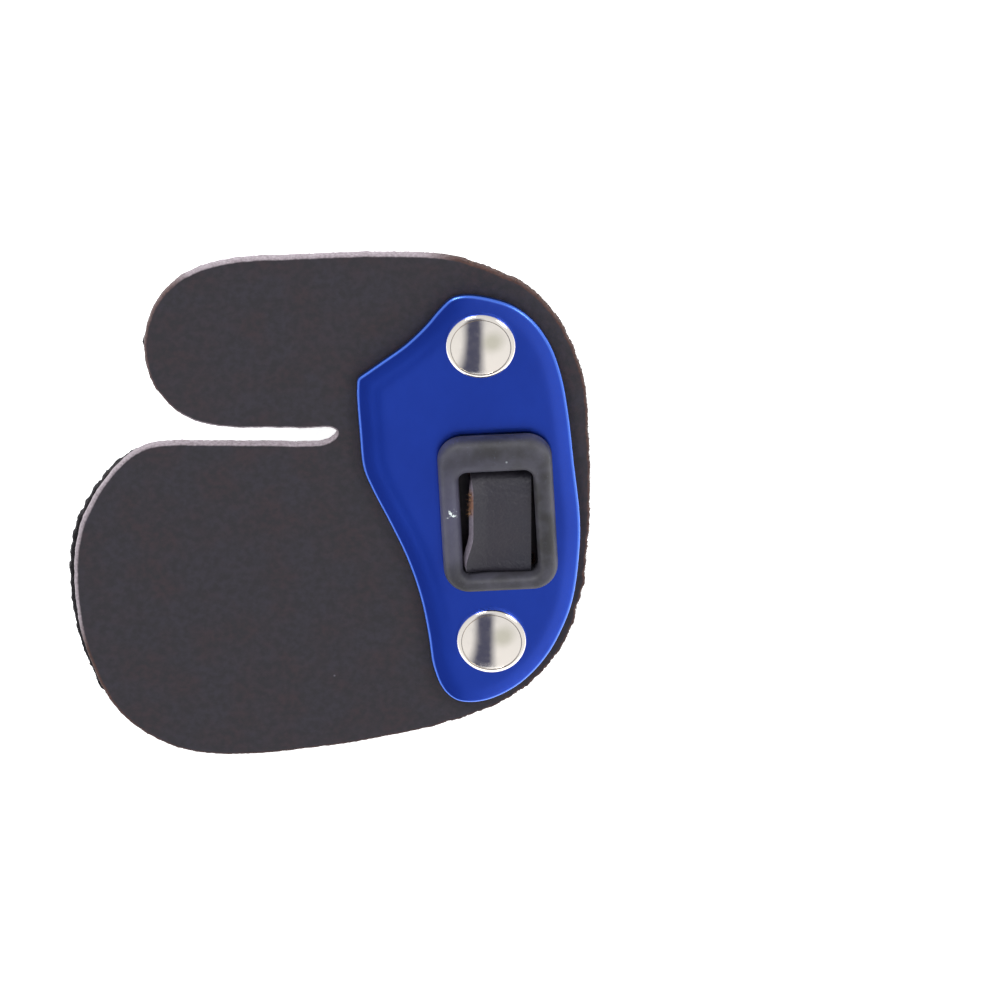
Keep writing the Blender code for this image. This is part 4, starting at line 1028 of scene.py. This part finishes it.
def make_fibres(name, outline, level, thick, amount, look, slot, spare=0.1, fade=1.0):
    """Curved three-sided hairs that taper out of a cut edge, each on a parabola that starts inside it.

    More of them, and longer ones, stand towards the palm, and a spare share of that number elsewhere. A low
    fade makes most of them tan. They are drawn coarser than real fibres, 0.04 to 0.08 mm thick, to show.
    """
    draw = np.random.default_rng(SEED + amount)
    normal = outward(outline)
    palm = ease((outline[:, 0] - 9.0) / 8.0)
    chance = spare + palm
    picks = draw.choice(len(outline), amount, p=chance / chance.sum())
    root = outline[picks] + (np.roll(outline, -1, axis=0)[picks] - outline[picks]) * draw.random((amount, 1))
    aim = unit(normal[picks] + draw.normal(0.0, AIM_SPREAD, (amount, 2)))
    length = (HAIR_LENGTH + HAIR_PALM_MORE * palm[picks]) * draw.uniform(0.4, 1.3, amount)
    rise = draw.normal(0.0, RISE_SPREAD, amount)
    curl = draw.normal(0.0, CURL_SPREAD, (amount, 2))
    shares = np.linspace(0.0, 1.0, HAIR_ROWS)
    start = root - normal[picks] * HAIR_ROOT
    depth = level - thick * draw.uniform(0.1, 0.95, amount)
    run = length[:, None, None] * shares[None, :, None]
    flat = start[:, None, :] + aim[:, None, :] * run + curl[:, None, :] * run ** 2
    height = depth[:, None] + rise[:, None] * run[:, :, 0]
    spine = np.concatenate((flat, height[:, :, None]), axis=2)
    radius = draw.uniform(0.018, 0.04, amount)[:, None] * (1.0 - 0.85 * shares)[None, :]
    turns = np.linspace(0.0, 2 * np.pi, HAIR_SIDES, endpoint=False)
    sideways = np.stack((-aim[:, 1], aim[:, 0], np.zeros(amount)), axis=1)
    round_x, round_z = (radius[:, :, None, None] * wave(turns)[:, None] for wave in (np.cos, np.sin))
    hair = spine[:, :, None, :] + sideways[:, None, None, :] * round_x + np.array((0.0, 0.0, 1.0)) * round_z
    each = HAIR_ROWS * HAIR_SIDES
    first = np.arange(amount)[:, None, None] * each
    quads = (grid_faces(HAIR_ROWS, HAIR_SIDES) + first).reshape(-1, 4)
    triangles = (np.array(((0, 2, 1), (each - 3, each - 2, each - 1))) + first).reshape(-1, 3)
    made = piece(name, hair.reshape(-1, 3), quads, triangles, [look], slot, 60.0)
    mark(made, "hue", np.repeat(draw.random(amount) ** fade, each))


# The studio

TABLE_SIDE = 6.0               # in metres, so that its edges stay out of the picture


def place_camera():
    """A long lens at the photograph's angle, square to the tab's palm axis, with the photograph's frame."""
    target = to_world((PHOTO_MIDDLE[0], PHOTO_MIDDLE[1], 0.0))
    back = np.array((0.0, np.sin(VIEW_LEAN), np.cos(VIEW_LEAN))) @ TURN
    data = bpy.data.cameras.new("camera")
    data.sensor_width = data.sensor_height = SENSOR
    data.lens = SENSOR * CAMERA_DISTANCE / PHOTO_WIDTH
    data.clip_start, data.clip_end = 0.01, 50.0
    camera = bpy.data.objects.new("camera", data)
    place = np.eye(4)
    place[:3, 0], place[:3, 1], place[:3, 2] = TURN[0], np.cross(back, TURN[0]), back
    place[:3, 3] = target + back * CAMERA_DISTANCE * MM
    camera.matrix_world = Matrix(place.tolist())
    bpy.context.scene.collection.objects.link(camera)
    bpy.context.scene.camera = camera


def make_table():
    """White opal table top, lit from below, as for catalogue pictures."""
    bpy.ops.mesh.primitive_plane_add(size=TABLE_SIDE, location=(0.0, 0.0, 0.0))
    table = bpy.context.object
    table.name = "table"
    look, shader = new_look("opal_acrylic", Roughness=0.7, Emission_Strength=0.9,
                            Emission_Color="#ffffff")
    spot = add(look, "TexCoord")
    haze = add(look, "TexNoise", pattern(spot, 60.0, Detail=2.0))
    colour = add(look, "Mix", {SHARE: haze, UNDER: "#f4f4f4", OVER: "#fbfbfb"})
    plug(shader, {"Base Color": colour})
    table.data.materials.append(look)


# The white tent: the shade of its walls below the tab and above it in the photograph, its dark opening and a
# duller patch. Places and edges are parts of a direction of length 1
TENT_LOW, TENT_HIGH = (1.15, 1.14, 1.14, 1.0), (0.8, 0.82, 0.86, 1.0)
OPENING_DARK, OPENING_X = (0.095, 0.1, 0.165, 1.0), -0.165
OPENING_EDGE, OPENING_END = (0.12, 0.28), (-0.06, 0.1)
PATCH_DULL, PATCH_PLACE = (0.50, 0.52, 0.40, 1.0), (0.27, -0.62, 0.74)
PATCH_EDGE, PATCH_SHARE = (0.12, 0.34), 0.55
TENT_STRENGTH = 0.95
# Rows: name, place and side in metres, power in watts
SOFT_BOXES = (("soft_box_key", (-0.35, 0.45, 0.75), 0.3, 4.0), ("soft_box_fill", (0.55, 0.1, 0.6), 0.25, 1.5))


def light_studio():
    """White tent with a dark opening from its lower side to overhead, a duller patch, and two soft boxes."""
    world = bpy.data.worlds.new("white_tent")
    world.use_nodes = True
    bpy.context.scene.world = world
    way = add(world, "TexCoord").node.outputs["Generated"]
    split = add(world, "SeparateXYZ", (way,)).node
    aside = add(world, "Math", (split.outputs[0], -OPENING_X), operation="ADD")
    off = add(world, "Math", (aside,), operation="ABSOLUTE")
    opening = add(world, "MapRange", (off, *OPENING_EDGE, 1.0, 0.0))
    # the opening ends overhead, so that the caps' rims shine white all round
    front = add(world, "MapRange", (split.outputs[1], *OPENING_END, 1.0, 0.0))
    dark = add(world, "Math", (opening, front), operation="MULTIPLY")
    tent = blend(world, (split.outputs[1], -1.0, 1.0), TENT_LOW, TENT_HIGH)
    gap = add(world, "VectorMath", (way, PATCH_PLACE))
    tinted = blend(world, (gap, *PATCH_EDGE, PATCH_SHARE, 0.0), tent, PATCH_DULL)
    colour = add(world, "Mix", {SHARE: dark, UNDER: tinted, OVER: OPENING_DARK})
    plug(world.node_tree.nodes["Background"], {"Color": colour, "Strength": TENT_STRENGTH})
    for name, place, size, power in SOFT_BOXES:
        data = bpy.data.lights.new(name, "AREA")
        data.size = size
        data.energy = power
        lamp = bpy.data.objects.new(name, data)
        lamp.location = place
        lamp.rotation_euler = (-Vector(place)).to_track_quat("-Z", "Y").to_euler()
        bpy.context.scene.collection.objects.link(lamp)


def main():
    place_camera()
    light_studio()
    make_table()
    face_outline = make_face()
    suede_outlines = make_suedes()
    make_plate()
    make_spacer()
    make_rivets()
    make_strap()
    hair = loose_fibre()
    make_fibres("face_edge_fibres", face_outline, 0.0, FACE_THICK, EDGE_HAIRS, hair, "face_leather")
    for name, outline in zip(("suede_fibres_upper", "suede_fibres_lower"), suede_outlines):
        make_fibres(name, outline, SUEDE_FRONT, SUEDE_THICK, EDGE_HAIRS, hair, "suede", 0.5)
    # the torn place is a narrow ellipse along the strap's edge, in its top millimetre
    turns = np.linspace(0.0, 2 * np.pi, 60, endpoint=False)
    torn = np.array(TAN_SPOT[:2]) + np.stack((0.22 + 0.25 * np.cos(turns), 1.4 * np.sin(turns)), axis=1)
    make_fibres("strap_edge_fibres", torn, 3.4, 1.0, TORN_HAIRS, hair, "strap_leather", 1.0, 0.25)
    bpy.context.scene.view_settings.view_transform = "Standard"


main()
